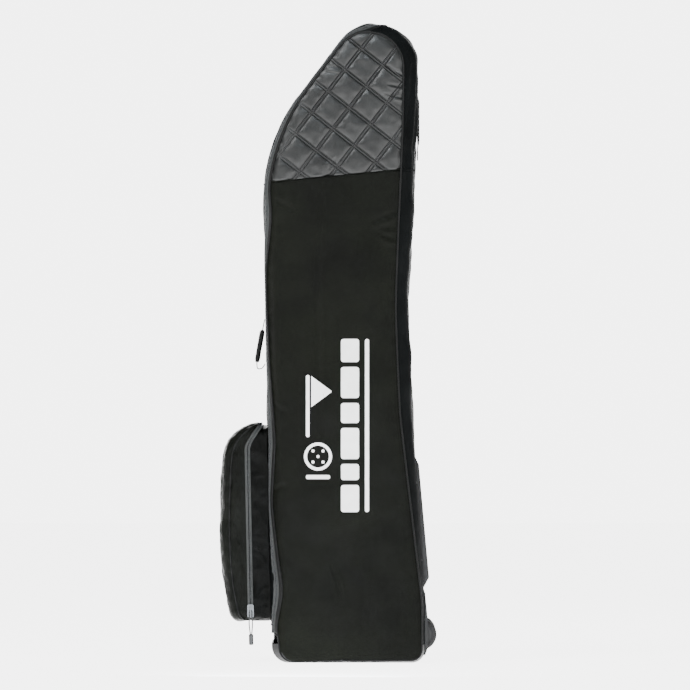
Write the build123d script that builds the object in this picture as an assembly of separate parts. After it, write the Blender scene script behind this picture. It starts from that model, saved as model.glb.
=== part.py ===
"""Wheeled golf travel case, standing on its base.

+Z is up, -Y is the front (shoe pocket and carry handle), +Y the back (skid
rails and wheels), and X runs across the case. The origin is the middle of the
flat base. Outlines are drawn in the Y-Z plane as corners (y, z, radius), in
order: along the base, up the back, over the hood and down the front.
"""

import os
from math import cos, hypot, radians, sin

from build123d import *

# ---- overall shape, mm ----
CASE_HEIGHT = 1280.0
CASE_WIDTH = 304.0
BASE_FRONT = 154.0  # from the origin forward to the front of the base
BASE_BACK = 152.0  # from the origin back to the back of the base
WALL = 3.0  # padded nylon panels
JOINT_GAP = 0.8  # between the two halves of a zip, and round a flap

# ---- silhouette of the case ----
FRONT_LEAN = 19.0  # how far the front leans out by the hood's shoulder
FRONT_CORNER_R = 34.0
BACK_CORNER_R = 26.0
KICK_HEIGHT = 120.0  # the back is upright below this
BACK_KNEE = (127.0, 500.0)  # (y, z)
BACK_WAIST = (118.0, 715.0)
HOOD_BACK_Y = 137.0
HOOD_BACK_DROP = 200.0  # below the top of the case
HOOD_SLOPE = 53.0  # degrees above horizontal
HOOD_TOP_R = 87.0
HOOD_FRONT_R = 340.0

# ---- seam between each side panel and the band round the case ----
SHOULDER = 22.0  # width of the slanting strip between side face and band
SEAM_FRONT = 22.0  # seam set in from the silhouette: at the front,
SEAM_BASE = 4.0  # the base,
SEAM_KICK = 5.0  # the foot of the back,
SEAM_BACK = 26.0  # the back,
SEAM_HOOD_BACK = 30.0  # the back of the hood
SEAM_TOP = 14.0  # and the top
SEAM_TOP_R = 71.0
SEAM_CORNER_R = 22.0
PIPING = (3.6, 3.4)  # width, height

# ---- hood ----
HOOD_SEAM_FRONT_DROP = 318.0  # below the top of the case
HOOD_SEAM_BACK_DROP = 290.0
HOOD_PAD = 6.5
HOOD_PAD_INSET = 10.0

# ---- main zip and the front panel that it opens ----
HINGE_Z = 76.0  # fold line of the front panel
ZIP_FOOT_Z = 38.0  # where the main zip ends
ZIP_APEX_Y = 62.0  # where the main zip crosses over the hood
ZIP_CORNER_R = 40.0
TAPE = 1.2
COIL = (2.6, 1.6)  # width of each half, height

# ---- base, back and skid rails ----
BASE_WALL_Z = 36.0
BOARD = 3.0
BOARD_INSET = 34.0  # from the side face
BASE_BOARD_FRONT = 114.0
BASE_BOARD_BACK = 96.0
BACK_BOARD_Z = (118.0, 430.0)
RAIL_WIDTH = 26.0
RAIL_Z = (150.0, 170.0, 396.0, 412.0)  # foot, full depth, top, end of the ramp
RAIL_DEPTH = (12.0, 6.5)  # at the foot and at the top
RAIL_SCREW_Z = (205.0, 360.0)
SCREW_R = 2.0
SCREW_HEAD = (4.4, 2.4)  # radius, height
SCREW_SINK = 1.2
NUT = (4.2, 3.0)  # radius, height
NUT_GAP = 0.5

# ---- wheels ----
WHEEL_INSET = 54.0  # middle of a wheel and of its rail, from the side face
WHEEL_Y = 143.6
WHEEL_Z = 56.0
WHEEL_R = 32.0
WHEEL_WIDTH = 22.0
HUB_R = 21.5
BEARING = (11.0, 4.0, 7.0)  # outer radius, bore radius, width
AXLE_CLEARANCE = 0.05
AXLE_HEAD = (5.0, 3.0)
WELL_GAP = 5.0  # round the wheel
CHEEK_GAP = 3.0  # beside the wheel
CHEEK = 8.0
HOUSING_WALL = 4.0
FAIRING_HALF = 31.0
FAIRING_DEPTH = 5.5
FAIRING_Z = (13.0, 28.0, 90.0, 140.0)
RIVET = (2.2, 4.4, 1.4)  # shank radius, head radius, head height

# ---- shoe pocket ----
POCKET_INSET = 34.0  # from the side face
POCKET_BOTTOM = 84.0
POCKET_TOP = 478.0
POCKET_FRONT = 254.0  # from the origin
POCKET_FOOT = 233.0
POCKET_BELLY_Z = 270.0
POCKET_TOP_R = 62.0
POCKET_FOOT_R = 26.0
POCKET_EDGE_R = 18.0
POCKET_WALL = 2.4
POCKET_TAPE = (6.5, 1.0)
POCKET_COIL = (2.2, 1.4)
POCKET_ZIP_FOOT = 196.0
POCKET_ZIP_KNEE = (204.0, 42.0)  # forward of the origin, below the pocket's top
POCKET_ZIP_SHOULDER = (186.0, 16.0)

# ---- zip sliders and pulls ----
SLIDER = (13.0, 26.0, 1.8)  # width, length, thickness of the plate
SLIDER_GAP = 0.5  # over and beside the coil
SLIDER_LIFT = 0.9  # flange off the cloth
FLANGE = 2.0
BAIL_R = 1.0
BAIL_LIFT = 3.4  # centre of the bail above the slider
BAIL_HALF = 3.9  # from the middle of the bail to each post
BAIL_CLEARANCE = 0.4
POST = 1.4
POST_DEPTH = 3.4
BRIDGE = 6.5  # between the bridge's posts
PULL_FIT = 0.1
NECK = 4.2
MAIN_SLIDER_Z = 58.0
PULL = (9.0, 26.0, 2.0)  # width, length, thickness
POCKET_SLIDER_Z = 103.0
CORD_D = 2.4
CORD_GAP = 0.3
CORD_DROP = 46.0  # from the bail to the moulded end
PULL_TIP = (9.0, 22.0, 7.0)  # width, length, thickness

# ---- carry handle, on the front panel ----
HANDLE_TOP_Z = 688.0
HANDLE_FOOT_Z = 598.0
HANDLE_BAND = (20.0, 2.0)  # width, thickness
HANDLE_GRIP = (24.0, 10.0, 66.0)  # width, thickness, length
HANDLE_STAND = 21.0  # how far the foot of the handle hangs off the panel
HANDLE_LEDGE = 20.0  # the handle turns down this far below its upper end
HANDLE_TURN = (11.0, 9.0)  # how far the foot's turn reaches below it: outside, inside
HANDLE_NECK = 5.0  # half the width where it folds under at the foot
HANDLE_PATCH = (14.0, 24.0, 2.0)  # half width, height, thickness

# ---- haul handle, on the back of the hood ----
HAUL_DROPS = (118.0, 272.0)  # ends, below the top of the case
HAUL_BAND = (38.0, 2.0)  # width, thickness
HAUL_BEND_R = 30.0
HAUL_GRIP = (42.0, 4.6, 92.0)  # width, thickness, length
HAUL_GAP = 0.4
HAUL_SEWN = 22.0  # length sewn flat at each end
HAUL_RISE = 12.0  # length over which it lifts off the cloth

# ---- straps inside ----
STRAP = (38.0, 1.6)
STRAP_HEIGHTS = (460.0, 800.0)
STRAP_OFF_BACK = 41.0  # middle of the strap in front of the inner face
SOCKET = (32.0, 12.0, 46.0)  # length, thickness, height
PLUG = (30.0, 11.0, 44.0)
PLUG_TRAVEL = 22.0
PRONG = (20.0, 5.6, 5.5)  # length, thickness, width
PRONG_SPACING = 13.75  # from the middle of the buckle
GUIDE = (17.0, 8.0)  # length, width
BUCKLE_FIT = 0.4


# ---------------------------------------------------------------- outlines
def grow(corners, distance):
    """The outline moved outward by distance; it runs counterclockwise seen from +X."""
    moved = []
    for i, (y, z, r) in enumerate(corners):
        y0, z0, _ = corners[i - 1]
        y1, z1, _ = corners[(i + 1) % len(corners)]
        before, after = hypot(y - y0, z - z0), hypot(y1 - y, z1 - z)
        n0 = ((z - z0) / before, (y0 - y) / before)
        n1 = ((z1 - z) / after, (y - y1) / after)
        share = distance / (1 + n0[0] * n1[0] + n0[1] * n1[1])
        convex = n0[0] * n1[1] - n0[1] * n1[0] > 0
        radius = 0 if r == 0 else max(r + (distance if convex else -distance), 0.2)
        moved.append((y + share * (n0[0] + n1[0]), z + share * (n0[1] + n1[1]), radius))
    return moved


def outline(corners, x):
    """The face inside an outline, at x, facing +X."""
    wire = FilletPolyline(
        *[(y, z) for y, z, _ in corners], radius=[r for _, _, r in corners], close=True
    )
    return Plane(origin=(x, 0, 0), x_dir=(0, 1, 0), z_dir=(1, 0, 0)) * make_face(wire)


def prism(corners, x0, x1):
    return extrude(outline(corners, x0), amount=x1 - x0)


def block(x, y, z):
    """A box from (low, high) pairs."""
    centre = ((x[0] + x[1]) / 2, (y[0] + y[1]) / 2, (z[0] + z[1]) / 2)
    return Pos(*centre) * Box(x[1] - x[0], y[1] - y[0], z[1] - z[0])


def both_sides(shape):
    return [shape, mirror(shape, Plane.YZ)]


def apex_corner(back_y, top_z, radius):
    """Corner whose rounding touches the back line, the top and the hood's slope."""
    a = radians(HOOD_SLOPE)
    return (back_y, top_z - radius + radius * (1 + sin(a)) / cos(a), radius)


def slope_height(front_y, back_y, top_z, radius):
    """Height of the hood's slope at front_y."""
    a = radians(HOOD_SLOPE)
    return top_z - radius + (radius + (front_y - back_y + radius) * sin(a)) / cos(a)


SIDE_X = CASE_WIDTH / 2
BOARD_X = SIDE_X - BOARD_INSET
WHEEL_X = SIDE_X - WHEEL_INSET
POCKET_HALF = SIDE_X - POCKET_INSET
BAND_X = SIDE_X - SHOULDER
ZIP_X = SIDE_X - SHOULDER / 2
HOOD_BACK_Z = CASE_HEIGHT - HOOD_BACK_DROP
SHOULDER_Y = -BASE_FRONT - FRONT_LEAN
SHOULDER_Z = slope_height(SHOULDER_Y, HOOD_BACK_Y, CASE_HEIGHT, HOOD_TOP_R)
SILHOUETTE = [
    (-BASE_FRONT, 0, FRONT_CORNER_R),
    (BASE_BACK, 0, BACK_CORNER_R),
    (BASE_BACK, KICK_HEIGHT, 300),
    (*BACK_KNEE, 600),
    (*BACK_WAIST, 1200),
    (HOOD_BACK_Y, HOOD_BACK_Z, 600),
    apex_corner(HOOD_BACK_Y, CASE_HEIGHT, HOOD_TOP_R),
    (SHOULDER_Y, SHOULDER_Z, HOOD_FRONT_R),
]
SEAM_APEX = (HOOD_BACK_Y - SEAM_BACK, CASE_HEIGHT - SEAM_TOP, SEAM_TOP_R)
SEAM_SHOULDER_Y = SHOULDER_Y + SEAM_FRONT - SEAM_BASE
SEAM = [
    (-BASE_FRONT + SEAM_FRONT, SEAM_BASE, SEAM_CORNER_R),
    (BASE_BACK - SEAM_KICK, SEAM_BASE, SEAM_CORNER_R),
    (BASE_BACK - SEAM_KICK, KICK_HEIGHT, 300),
    (BACK_KNEE[0] - SEAM_BACK, BACK_KNEE[1], 600),
    (BACK_WAIST[0] - SEAM_BACK, BACK_WAIST[1], 1200),
    (HOOD_BACK_Y - SEAM_HOOD_BACK, HOOD_BACK_Z, 600),
    apex_corner(*SEAM_APEX),
    (SEAM_SHOULDER_Y, slope_height(SEAM_SHOULDER_Y, *SEAM_APEX), HOOD_FRONT_R),
]


def front_y(z):
    """The case's front face, straight from the base's corner to the shoulder."""
    return -BASE_FRONT - FRONT_LEAN * z / SHOULDER_Z


def back_y(z):
    """The case's back face between the kick line and the knee."""
    run = (z - KICK_HEIGHT) / (BACK_KNEE[1] - KICK_HEIGHT)
    return BASE_BACK + (BACK_KNEE[0] - BASE_BACK) * run


def seam_front_y(z):
    y0, z0, _ = SEAM[0]
    y1, z1, _ = SEAM[-1]
    return y0 + (y1 - y0) * (z - z0) / (z1 - z0)


# ---------------------------------------------------------------- soft shell
def case_block(distance):
    """The solid inside the case's surface moved outward by distance."""
    band, seam = grow(SILHOUETTE, distance), grow(SEAM, distance)
    cap = loft([outline(band, BAND_X), outline(seam, SIDE_X + distance)], ruled=True)
    return prism(band, -BAND_X, BAND_X) + cap + mirror(cap, Plane.YZ)


def zip_region(margin, foot_z):
    """Everything in front of the main zip's line, moved outward by margin."""
    half, reach = ZIP_X + margin, 2 * BASE_FRONT
    back = ZIP_APEX_Y + margin
    plan = Pos(0, back - reach) * Rectangle(2 * half, 2 * reach)
    plan = fillet(plan.vertices().group_by(Axis.Y)[-1], ZIP_CORNER_R + margin)
    return Pos(0, 0, foot_z) * extrude(plan, amount=CASE_HEIGHT + 100 - foot_z)


def hood_region(margin=0.0):
    """Everything above the seam that joins the hood to the panels below."""
    far, top = 2 * BASE_FRONT, CASE_HEIGHT + 100
    z0 = CASE_HEIGHT - HOOD_SEAM_FRONT_DROP + margin
    z1 = CASE_HEIGHT - HOOD_SEAM_BACK_DROP + margin
    lean = (z1 - z0) / (BASE_FRONT + BASE_BACK)
    corners = [
        (-far, z0 - lean * (far - BASE_FRONT), 0),
        (far, z1 + lean * (far - BASE_BACK), 0),
        (far, top, 0),
        (-far, top, 0),
    ]
    return prism(corners, -SIDE_X - 20, SIDE_X + 20)


def make_shell(outer, inner):
    """Side panels, hood, band and main zip, as {name: solid}."""
    half_gap, hood = JOINT_GAP / 2, hood_region()
    far = 2 * CASE_HEIGHT
    slabs = both_sides(block((SIDE_X - WALL, far), (-far, far), (-far, far)))
    plates = [outer & slab for slab in slabs]
    band = outer - inner - slabs[0] - slabs[1]
    tape_skin = outer - case_block(-TAPE)
    coil_skin = case_block(COIL[1]) - outer
    parts = {}
    for side, plate in zip(("right", "left"), plates):
        parts[f"side_panel_{side}"] = plate - hood
        parts[f"hood_side_{side}"] = plate & hood

    tape_reach = SHOULDER / 2
    door = zip_region(-half_gap, HINGE_Z + half_gap)
    door_cloth = zip_region(-tape_reach, HINGE_Z + half_gap)
    case_edge = zip_region(half_gap, HINGE_Z)
    tape_zone = zip_region(tape_reach, ZIP_FOOT_Z)
    skirt = block((-BAND_X, BAND_X), (-2 * BASE_FRONT, -BASE_FRONT / 2), (BASE_WALL_Z, HINGE_Z))

    cloth = band & door_cloth
    parts["front_panel"] = cloth - hood
    parts["hood_front_panel"] = cloth & hood
    parts["main_zip_tape_door"] = (tape_skin & door) - door_cloth
    parts["main_zip_coil_door"] = (coil_skin & door) - zip_region(-half_gap - COIL[0], 0)
    tape = (tape_skin & tape_zone) - case_edge - skirt - slabs[0] - slabs[1]
    parts["main_zip_tape_case"] = tape
    coil = coil_skin & zip_region(half_gap + COIL[0], ZIP_FOOT_Z + 6)
    parts["main_zip_coil_case"] = coil - case_edge - zip_region(-half_gap - COIL[0], 0)
    foot_strip = block((-2 * SIDE_X, 2 * SIDE_X), (-2 * BASE_FRONT, 0), (0, ZIP_FOOT_Z))
    parts["front_skirt"] = (band & skirt) - foot_strip
    rest = band - tape_zone
    low = block((-2 * SIDE_X, 2 * SIDE_X), (-2 * BASE_FRONT, 2 * BASE_BACK), (-1, BASE_WALL_Z))
    foot = block((-2 * SIDE_X, 2 * SIDE_X), (-2 * BASE_FRONT, 0), (BASE_WALL_Z - 1, ZIP_FOOT_Z))
    parts["base_shell"] = rest & (low + foot)
    parts["back_panel"] = rest - low - foot - hood
    parts["hood_back_panel"] = rest & hood
    return parts


def make_piping():
    ring = prism(grow(SEAM, PIPING[0] / 2), SIDE_X, SIDE_X + PIPING[1])
    ring -= prism(grow(SEAM, -PIPING[0] / 2), SIDE_X, SIDE_X + PIPING[1])
    return ring


def make_hood_padding():
    inner = SIDE_X - WALL
    pad = prism(grow(SEAM, -HOOD_PAD_INSET), inner - HOOD_PAD, inner)
    return pad & hood_region(HOOD_PAD_INSET)


# ---------------------------------------------------------------- base and back
def make_boards():
    base = block(
        (-BOARD_X, BOARD_X), (-BASE_BOARD_FRONT, BASE_BOARD_BACK), (WALL, WALL + BOARD)
    )
    sheet = prism(grow(SILHOUETTE, -WALL), -BOARD_X, BOARD_X)
    sheet -= prism(grow(SILHOUETTE, -WALL - BOARD), -BOARD_X, BOARD_X)
    back = sheet & block((-BOARD_X, BOARD_X), (0, 2 * BASE_BACK), BACK_BOARD_Z)
    return base, back


def make_rail():
    foot, full, top, end = RAIL_Z
    corners = [
        (back_y(foot), foot, 0),
        (back_y(full) + RAIL_DEPTH[0], full, 4),
        (back_y(top) + RAIL_DEPTH[1], top, 4),
        (back_y(end), end, 0),
    ]
    rail = prism(corners, -RAIL_WIDTH / 2, RAIL_WIDTH / 2)
    outer = rail.edges().filter_by(lambda e: abs(e.center().X) > RAIL_WIDTH / 2 - 0.1)
    outer = outer.filter_by(lambda e: e.center().Y > back_y(e.center().Z) + 2)
    return fillet(outer, 2.5)


def make_rail_fasteners(x):
    """Two screws from the rail's face to nuts inside the back board."""
    screws, nuts, holes = [], [], []
    for z in RAIL_SCREW_Z:
        run = (z - RAIL_Z[1]) / (RAIL_Z[2] - RAIL_Z[1])
        face = back_y(z) + RAIL_DEPTH[0] + (RAIL_DEPTH[1] - RAIL_DEPTH[0]) * run
        inside = back_y(z) - WALL - BOARD - NUT_GAP
        seat = face - SCREW_SINK
        along = Pos(x, 0, z) * Rot(-90, 0, 0)  # local Z becomes +Y
        bottom = inside - NUT[1] - 2
        length = seat - SCREW_HEAD[1] - bottom
        shank = along * Pos(0, 0, bottom) * Cylinder(
            SCREW_R, length, align=(Align.CENTER, Align.CENTER, Align.MIN)
        )
        head = along * Pos(0, 0, seat - SCREW_HEAD[1]) * Cylinder(
            SCREW_HEAD[0], SCREW_HEAD[1], align=(Align.CENTER, Align.CENTER, Align.MIN)
        )
        access = along * Pos(0, 0, seat) * Cylinder(
            SCREW_HEAD[0], 4, align=(Align.CENTER, Align.CENTER, Align.MIN)
        )
        nut = extrude(RegularPolygon(NUT[0], 6) - Circle(SCREW_R), NUT[1])
        nuts.append(along * Pos(0, 0, inside - NUT[1]) * nut)
        screws.append(shank + head)
        holes.append(shank + head + access)
    return screws, nuts, holes


# ---------------------------------------------------------------- wheels
def x_cylinder(radius, x0, x1, y=WHEEL_Y, z=WHEEL_Z):
    return Pos((x0 + x1) / 2, y, z) * Rot(0, 90, 0) * Cylinder(radius, x1 - x0)


def make_wheel():
    """Wheel, bearings, axle and washers at x = 0 on the wheel's axis."""
    half = WHEEL_WIDTH / 2
    outer_r, bore_r, width = BEARING
    tyre = fillet(x_cylinder(WHEEL_R, -half, half).edges().filter_by(GeomType.CIRCLE), 6)
    tyre -= x_cylinder(HUB_R, -half, half)
    hub = x_cylinder(HUB_R, -half, half) - x_cylinder(outer_r, half - width, half)
    hub -= x_cylinder(outer_r, -half, -half + width)
    hub -= x_cylinder(bore_r + 3, -half, half)
    ring = x_cylinder(outer_r, half - width, half) - x_cylinder(bore_r, half - width, half)
    bearings = both_sides(ring)
    axle_r, cheek = bore_r - AXLE_CLEARANCE, half + CHEEK_GAP + CHEEK
    axle = x_cylinder(axle_r, -cheek - AXLE_HEAD[1] - 1, cheek)
    axle += x_cylinder(AXLE_HEAD[0], cheek, cheek + AXLE_HEAD[1])
    nut = Pos(-cheek - AXLE_HEAD[1], WHEEL_Y, WHEEL_Z) * Rot(0, 90, 0)
    nut *= extrude(RegularPolygon(AXLE_HEAD[0], 6) - Circle(axle_r), AXLE_HEAD[1])
    spacer = x_cylinder(bore_r + 2.5, half + 0.4, half + CHEEK_GAP)
    spacer -= x_cylinder(axle_r, half, half + CHEEK_GAP)
    return tyre, hub, bearings, [axle, nut], both_sides(spacer)


def make_housing():
    """Wheel housing with its rivets, at x = 0, and what it cuts from the case."""
    half = WHEEL_WIDTH / 2 + CHEEK_GAP
    outer = half + CHEEK
    low, high = WHEEL_Z - WHEEL_R - WELL_GAP, WHEEL_Z + WHEEL_R + WELL_GAP
    front = WHEEL_Y - WHEEL_R - WELL_GAP
    box = block(
        (-outer, outer), (front - HOUSING_WALL, BASE_BACK), (low - HOUSING_WALL, high + HOUSING_WALL)
    )
    foot, full_low, full_high, end = FAIRING_Z
    face = BASE_BACK + FAIRING_DEPTH
    fairing = prism(
        [
            (BASE_BACK, foot, 0),
            (face, full_low, 6),
            (face, full_high, 12),
            (BASE_BACK + 0.6, end, 0),
            (BASE_BACK, end, 0),
        ],
        -FAIRING_HALF,
        FAIRING_HALF,
    )
    well = block((-half, half), (front, 2 * BASE_BACK), (low, high))
    axle_hole = x_cylinder(BEARING[1] - AXLE_CLEARANCE, -outer - 1, outer + 1)
    shank_r, head_r, head_h = RIVET
    rivets = []
    for x in (-FAIRING_HALF + head_r + 1.4, FAIRING_HALF - head_r - 1.4):
        for z in (full_low + 8, full_high - 4):
            along = Pos(x, 0, z) * Rot(-90, 0, 0)
            start, seat = BASE_BACK - WALL - 2, face - head_h
            shank = Cylinder(shank_r, seat - start, align=(Align.CENTER, Align.CENTER, Align.MIN))
            head = Cylinder(head_r, head_h, align=(Align.CENTER, Align.CENTER, Align.MIN))
            tail = Cylinder(shank_r + 1.2, 2, align=(Align.CENTER, Align.CENTER, Align.MIN))
            rivet = along * Pos(0, 0, start) * shank + along * Pos(0, 0, seat) * head
            rivets.append(rivet + along * Pos(0, 0, start) * tail)
    housing = box + fairing - well - axle_hole
    for rivet in rivets:
        housing -= rivet
    return housing, box, rivets


# ---------------------------------------------------------------- shoe pocket
def pocket_corners(distance, back):
    """The pocket's outline moved outward, with its back edge at `back` off the panel."""
    foot = (-POCKET_FOOT - distance, POCKET_BOTTOM - distance, POCKET_FOOT_R + distance)
    belly = (-POCKET_FRONT - distance, POCKET_BELLY_Z, 300)
    top = (-POCKET_FRONT + 3 - distance, POCKET_TOP + 2 + distance, POCKET_TOP_R + distance)
    low_z, high_z = POCKET_BOTTOM - distance, POCKET_TOP - 6 + distance
    return [
        foot,
        (front_y(low_z) + back, low_z, 0),
        (front_y(high_z) + back, high_z, 0),
        top,
        belly,
    ]


def pocket_block(distance, back=0.0):
    half = POCKET_HALF + distance
    solid = prism(pocket_corners(distance, back), -half, half)
    rim = solid.edges().filter_by(lambda e: abs(abs(e.center().X) - half) < 0.01)
    rim = rim.filter_by(lambda e: e.center().Y < front_y(e.center().Z) + back - 1)
    return fillet(rim, POCKET_EDGE_R + distance)


def pocket_fixed_region(margin):
    """Everything between the front panel and the pocket's zip, moved out by margin."""
    far = BASE_FRONT / 2
    corners = [
        (-POCKET_ZIP_FOOT, POCKET_BOTTOM - 40, 0),
        (-far, POCKET_BOTTOM - 40, 0),
        (-far, POCKET_TOP + 60, 0),
        (-POCKET_ZIP_SHOULDER[0] + 70, POCKET_TOP + 60, 0),
        (-POCKET_ZIP_SHOULDER[0], POCKET_TOP - POCKET_ZIP_SHOULDER[1], 24),
        (-POCKET_ZIP_KNEE[0], POCKET_TOP - POCKET_ZIP_KNEE[1], 30),
    ]
    return prism(grow(corners, margin), -2 * POCKET_HALF, 2 * POCKET_HALF)


def make_pocket():
    half_gap = JOINT_GAP / 2
    outer = pocket_block(0)
    shell = outer - pocket_block(-POCKET_WALL, POCKET_WALL + 1)
    over_floor = block(
        (-2 * POCKET_HALF, 2 * POCKET_HALF),
        (-2 * POCKET_FRONT, 0),
        (POCKET_BOTTOM + POCKET_EDGE_R / 2, 2 * POCKET_TOP),
    )
    skin = (pocket_block(POCKET_TAPE[1]) - outer) & over_floor
    ridge = (pocket_block(POCKET_TAPE[1] + POCKET_COIL[1]) - pocket_block(POCKET_TAPE[1]))
    ridge &= over_floor
    width, coil = POCKET_TAPE[0], POCKET_COIL[0]
    inside, outside = pocket_fixed_region(-half_gap), pocket_fixed_region(half_gap)
    return {
        "pocket_gusset": shell & inside,
        "pocket_flap": shell - outside,
        "pocket_zip_tape_gusset": (skin & inside) - pocket_fixed_region(-half_gap - width),
        "pocket_zip_tape_flap": (skin & pocket_fixed_region(half_gap + width)) - outside,
        "pocket_zip_coil_gusset": (ridge & inside) - pocket_fixed_region(-half_gap - coil),
        "pocket_zip_coil_flap": (ridge & pocket_fixed_region(half_gap + coil)) - outside,
    }


# ---------------------------------------------------------------- zip sliders
def make_slider(coil_height, coil_half, fixed_side):
    """A slider over a coil that runs along local Y, with local Z out of the cloth.

    The plate rides over both coils. Its one flange is on the fixed coil's side.
    """
    width, length, plate = SLIDER
    low = coil_height + SLIDER_GAP
    body = Pos(0, 0, low + plate / 2) * Box(width, length, plate)
    body = fillet(body.edges().filter_by(Axis.Z), 3.5)
    flange_x = fixed_side * (coil_half + SLIDER_GAP + FLANGE / 2)
    drop = low - SLIDER_LIFT
    flange = Pos(flange_x, 0, SLIDER_LIFT + drop / 2) * Box(FLANGE, length - 9, drop)
    return body + flange, low + plate


def add_bail(slider, top):
    """A bar along local X between two posts, and the height of its axis."""
    lift = BAIL_LIFT + BAIL_R
    for x in (-BAIL_HALF, BAIL_HALF):
        slider += Pos(x, 0, top + lift / 2) * Box(POST, POST_DEPTH, lift)
    bar = Rot(0, 90, 0) * Cylinder(BAIL_R, 2 * BAIL_HALF)
    return slider + Pos(0, 0, top + BAIL_LIFT) * bar, top + BAIL_LIFT


def add_bridge(slider, top):
    """A bridge along local Y on two posts, and the height of a cord under it."""
    room = CORD_D + 2 * CORD_GAP
    for y in (0, BRIDGE):
        slider += Pos(0, y, top + room / 2) * Cylinder(BAIL_R, room)
    bar = Pos(0, BRIDGE / 2, top + room + POST / 2) * Box(2 * BAIL_R, BRIDGE + 2 * BAIL_R, POST)
    return slider + fillet(bar.edges().filter_by(Axis.Z), BAIL_R * 0.9), top + room / 2


def main_slider_plane():
    """The far side's zip line: local Y up the zip, local Z out of the cloth, X to the panel.

    Also how much wider the coil is along the slanting strip than it is along X.
    """
    def on_line(z):
        return Vector(-ZIP_X, (front_y(z) + seam_front_y(z)) / 2, z)

    up = (on_line(MAIN_SLIDER_Z + 100) - on_line(MAIN_SLIDER_Z)).normalized()
    setback = front_y(MAIN_SLIDER_Z) - seam_front_y(MAIN_SLIDER_Z)
    across = Vector(SHOULDER, setback, 0)
    plane = Plane(origin=on_line(MAIN_SLIDER_Z), x_dir=across, z_dir=across.cross(up))
    return plane, across.length / SHOULDER


def pocket_slider_plane():
    """On the near side's pocket zip: local Y up the zip, local Z out of the cloth."""
    y0, z0 = -POCKET_ZIP_FOOT, POCKET_BOTTOM - 40
    y1, z1 = -POCKET_ZIP_KNEE[0], POCKET_TOP - POCKET_ZIP_KNEE[1]
    slope = (y1 - y0) / (z1 - z0)
    up = Vector(0, slope, 1).normalized()
    origin = (POCKET_HALF + POCKET_TAPE[1], y0 + slope * (POCKET_SLIDER_Z - z0), POCKET_SLIDER_Z)
    out = Vector(1, 0, 0)
    return Plane(origin=origin, x_dir=up.cross(out), z_dir=out)


def make_pull_tab():
    """Flat tab hanging from the bail, with the bail's axis at the origin."""
    width, length, thick = PULL
    neck = 2 * BAIL_HALF - POST - 2 * BAIL_CLEARANCE
    tab = Pos(0, -(length + NECK) / 2, 0) * Box(width, length - NECK, thick)
    tab = fillet(tab.edges().filter_by(Axis.Z), 3)
    tab += Pos(0, -NECK / 2 - 1, 0) * Box(neck, NECK + 2, thick)
    boss = Rot(0, 90, 0) * Cylinder(BAIL_R + 1.2, neck)
    return tab + boss - Rot(0, 90, 0) * Cylinder(BAIL_R + PULL_FIT, width)


def make_pull_cord():
    """The cord loop: up one strand, round the bridge's lower post and down the other."""
    turn = BAIL_R + CORD_D / 2 + CORD_GAP
    strand = [(turn + 0.2, -13), (turn + 1.2, -28), (1.4, -CORD_DROP)]
    points = [(-x, y) for x, y in reversed(strand)]
    points += [(-turn, turn), (turn, turn), *strand]
    radii = [16.0, 60.0, turn * 0.98, turn * 0.98, 60.0, 16.0]
    print("pull cord radii, mm:", radii)
    path = FilletPolyline(*points, radius=radii)
    section = Plane(origin=path @ 0, z_dir=path % 0) * Circle(CORD_D / 2)
    return sweep(section, path=path), path.length


def make_pull_tip():
    width, length, thick = PULL_TIP
    tip = Pos(0, -CORD_DROP - length / 2, 0) * Box(width, length, thick)
    return fillet(tip.edges(), 2.6)


# ---------------------------------------------------------------- handles
def band_along(points, radii, width, thick):
    """A flat band, `width` across X, along a route in the Y-Z plane."""
    local = Plane(origin=(0, 0, 0), x_dir=(0, 1, 0), z_dir=(1, 0, 0))
    route = local * FilletPolyline(*points, radius=radii)
    start = Plane(origin=route @ 0, x_dir=(1, 0, 0), z_dir=route % 0)
    return sweep(start * Rectangle(width, thick), path=route)


def make_carry_handle():
    """Webbing hanging off the front panel, its padded grip and its two sewn patches."""
    width, thick = HANDLE_BAND
    top, foot = HANDLE_TOP_Z, HANDLE_FOOT_Z
    top_y, foot_y = front_y(top) - 3.4, front_y(foot) - 4
    ledge_y, stand = top_y - 4, front_y(foot) - HANDLE_STAND
    grip_w, grip_t, grip_len = HANDLE_GRIP
    outside, inside = HANDLE_TURN
    points = [
        (top_y, top),
        (ledge_y, top - HANDLE_LEDGE),
        (stand, foot + thick),
        (stand + 1, foot - outside),
        (foot_y - 6, foot - inside),
        (foot_y, foot),
    ]
    band = band_along(points, [30, 24, 4.5, 4.5], width, thick)
    upper = Vector(0, ledge_y, top - HANDLE_LEDGE)
    lower = Vector(0, stand, foot + thick)
    down = (lower - upper).normalized()
    centre = upper + down * (grip_len / 2 + 1)
    frame = Plane(origin=centre, x_dir=(1, 0, 0), z_dir=down)
    grip = frame * Box(grip_w, grip_t, grip_len)
    grip = fillet(grip.edges(), grip_t * 0.35) - band

    tip, half = 0.6 * HANDLE_NECK, width / 2
    edge = [
        (tip, top + 4),
        (half, top - HANDLE_LEDGE + 2),
        (half, foot + 6),
        (HANDLE_NECK, foot),
        (HANDLE_NECK, foot - HANDLE_LEDGE),
    ]
    waist = Polyline(*edge, *[(-x, z) for x, z in reversed(edge)], close=True)
    cutter = extrude(Plane.XZ * make_face(waist), amount=2 * BASE_FRONT, both=True)

    half_patch, height, patch_thick = HANDLE_PATCH
    anchors = []
    for low in (top + 1, foot + 1):
        high = low + height
        patch = [
            (front_y(low) - patch_thick, low, 0),
            (front_y(low), low, 0),
            (front_y(high), high, 0),
            (front_y(high) - patch_thick, high, 0),
        ]
        anchors.append(prism(patch, -half_patch, half_patch))
    return band & cutter, grip, anchors


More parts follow.
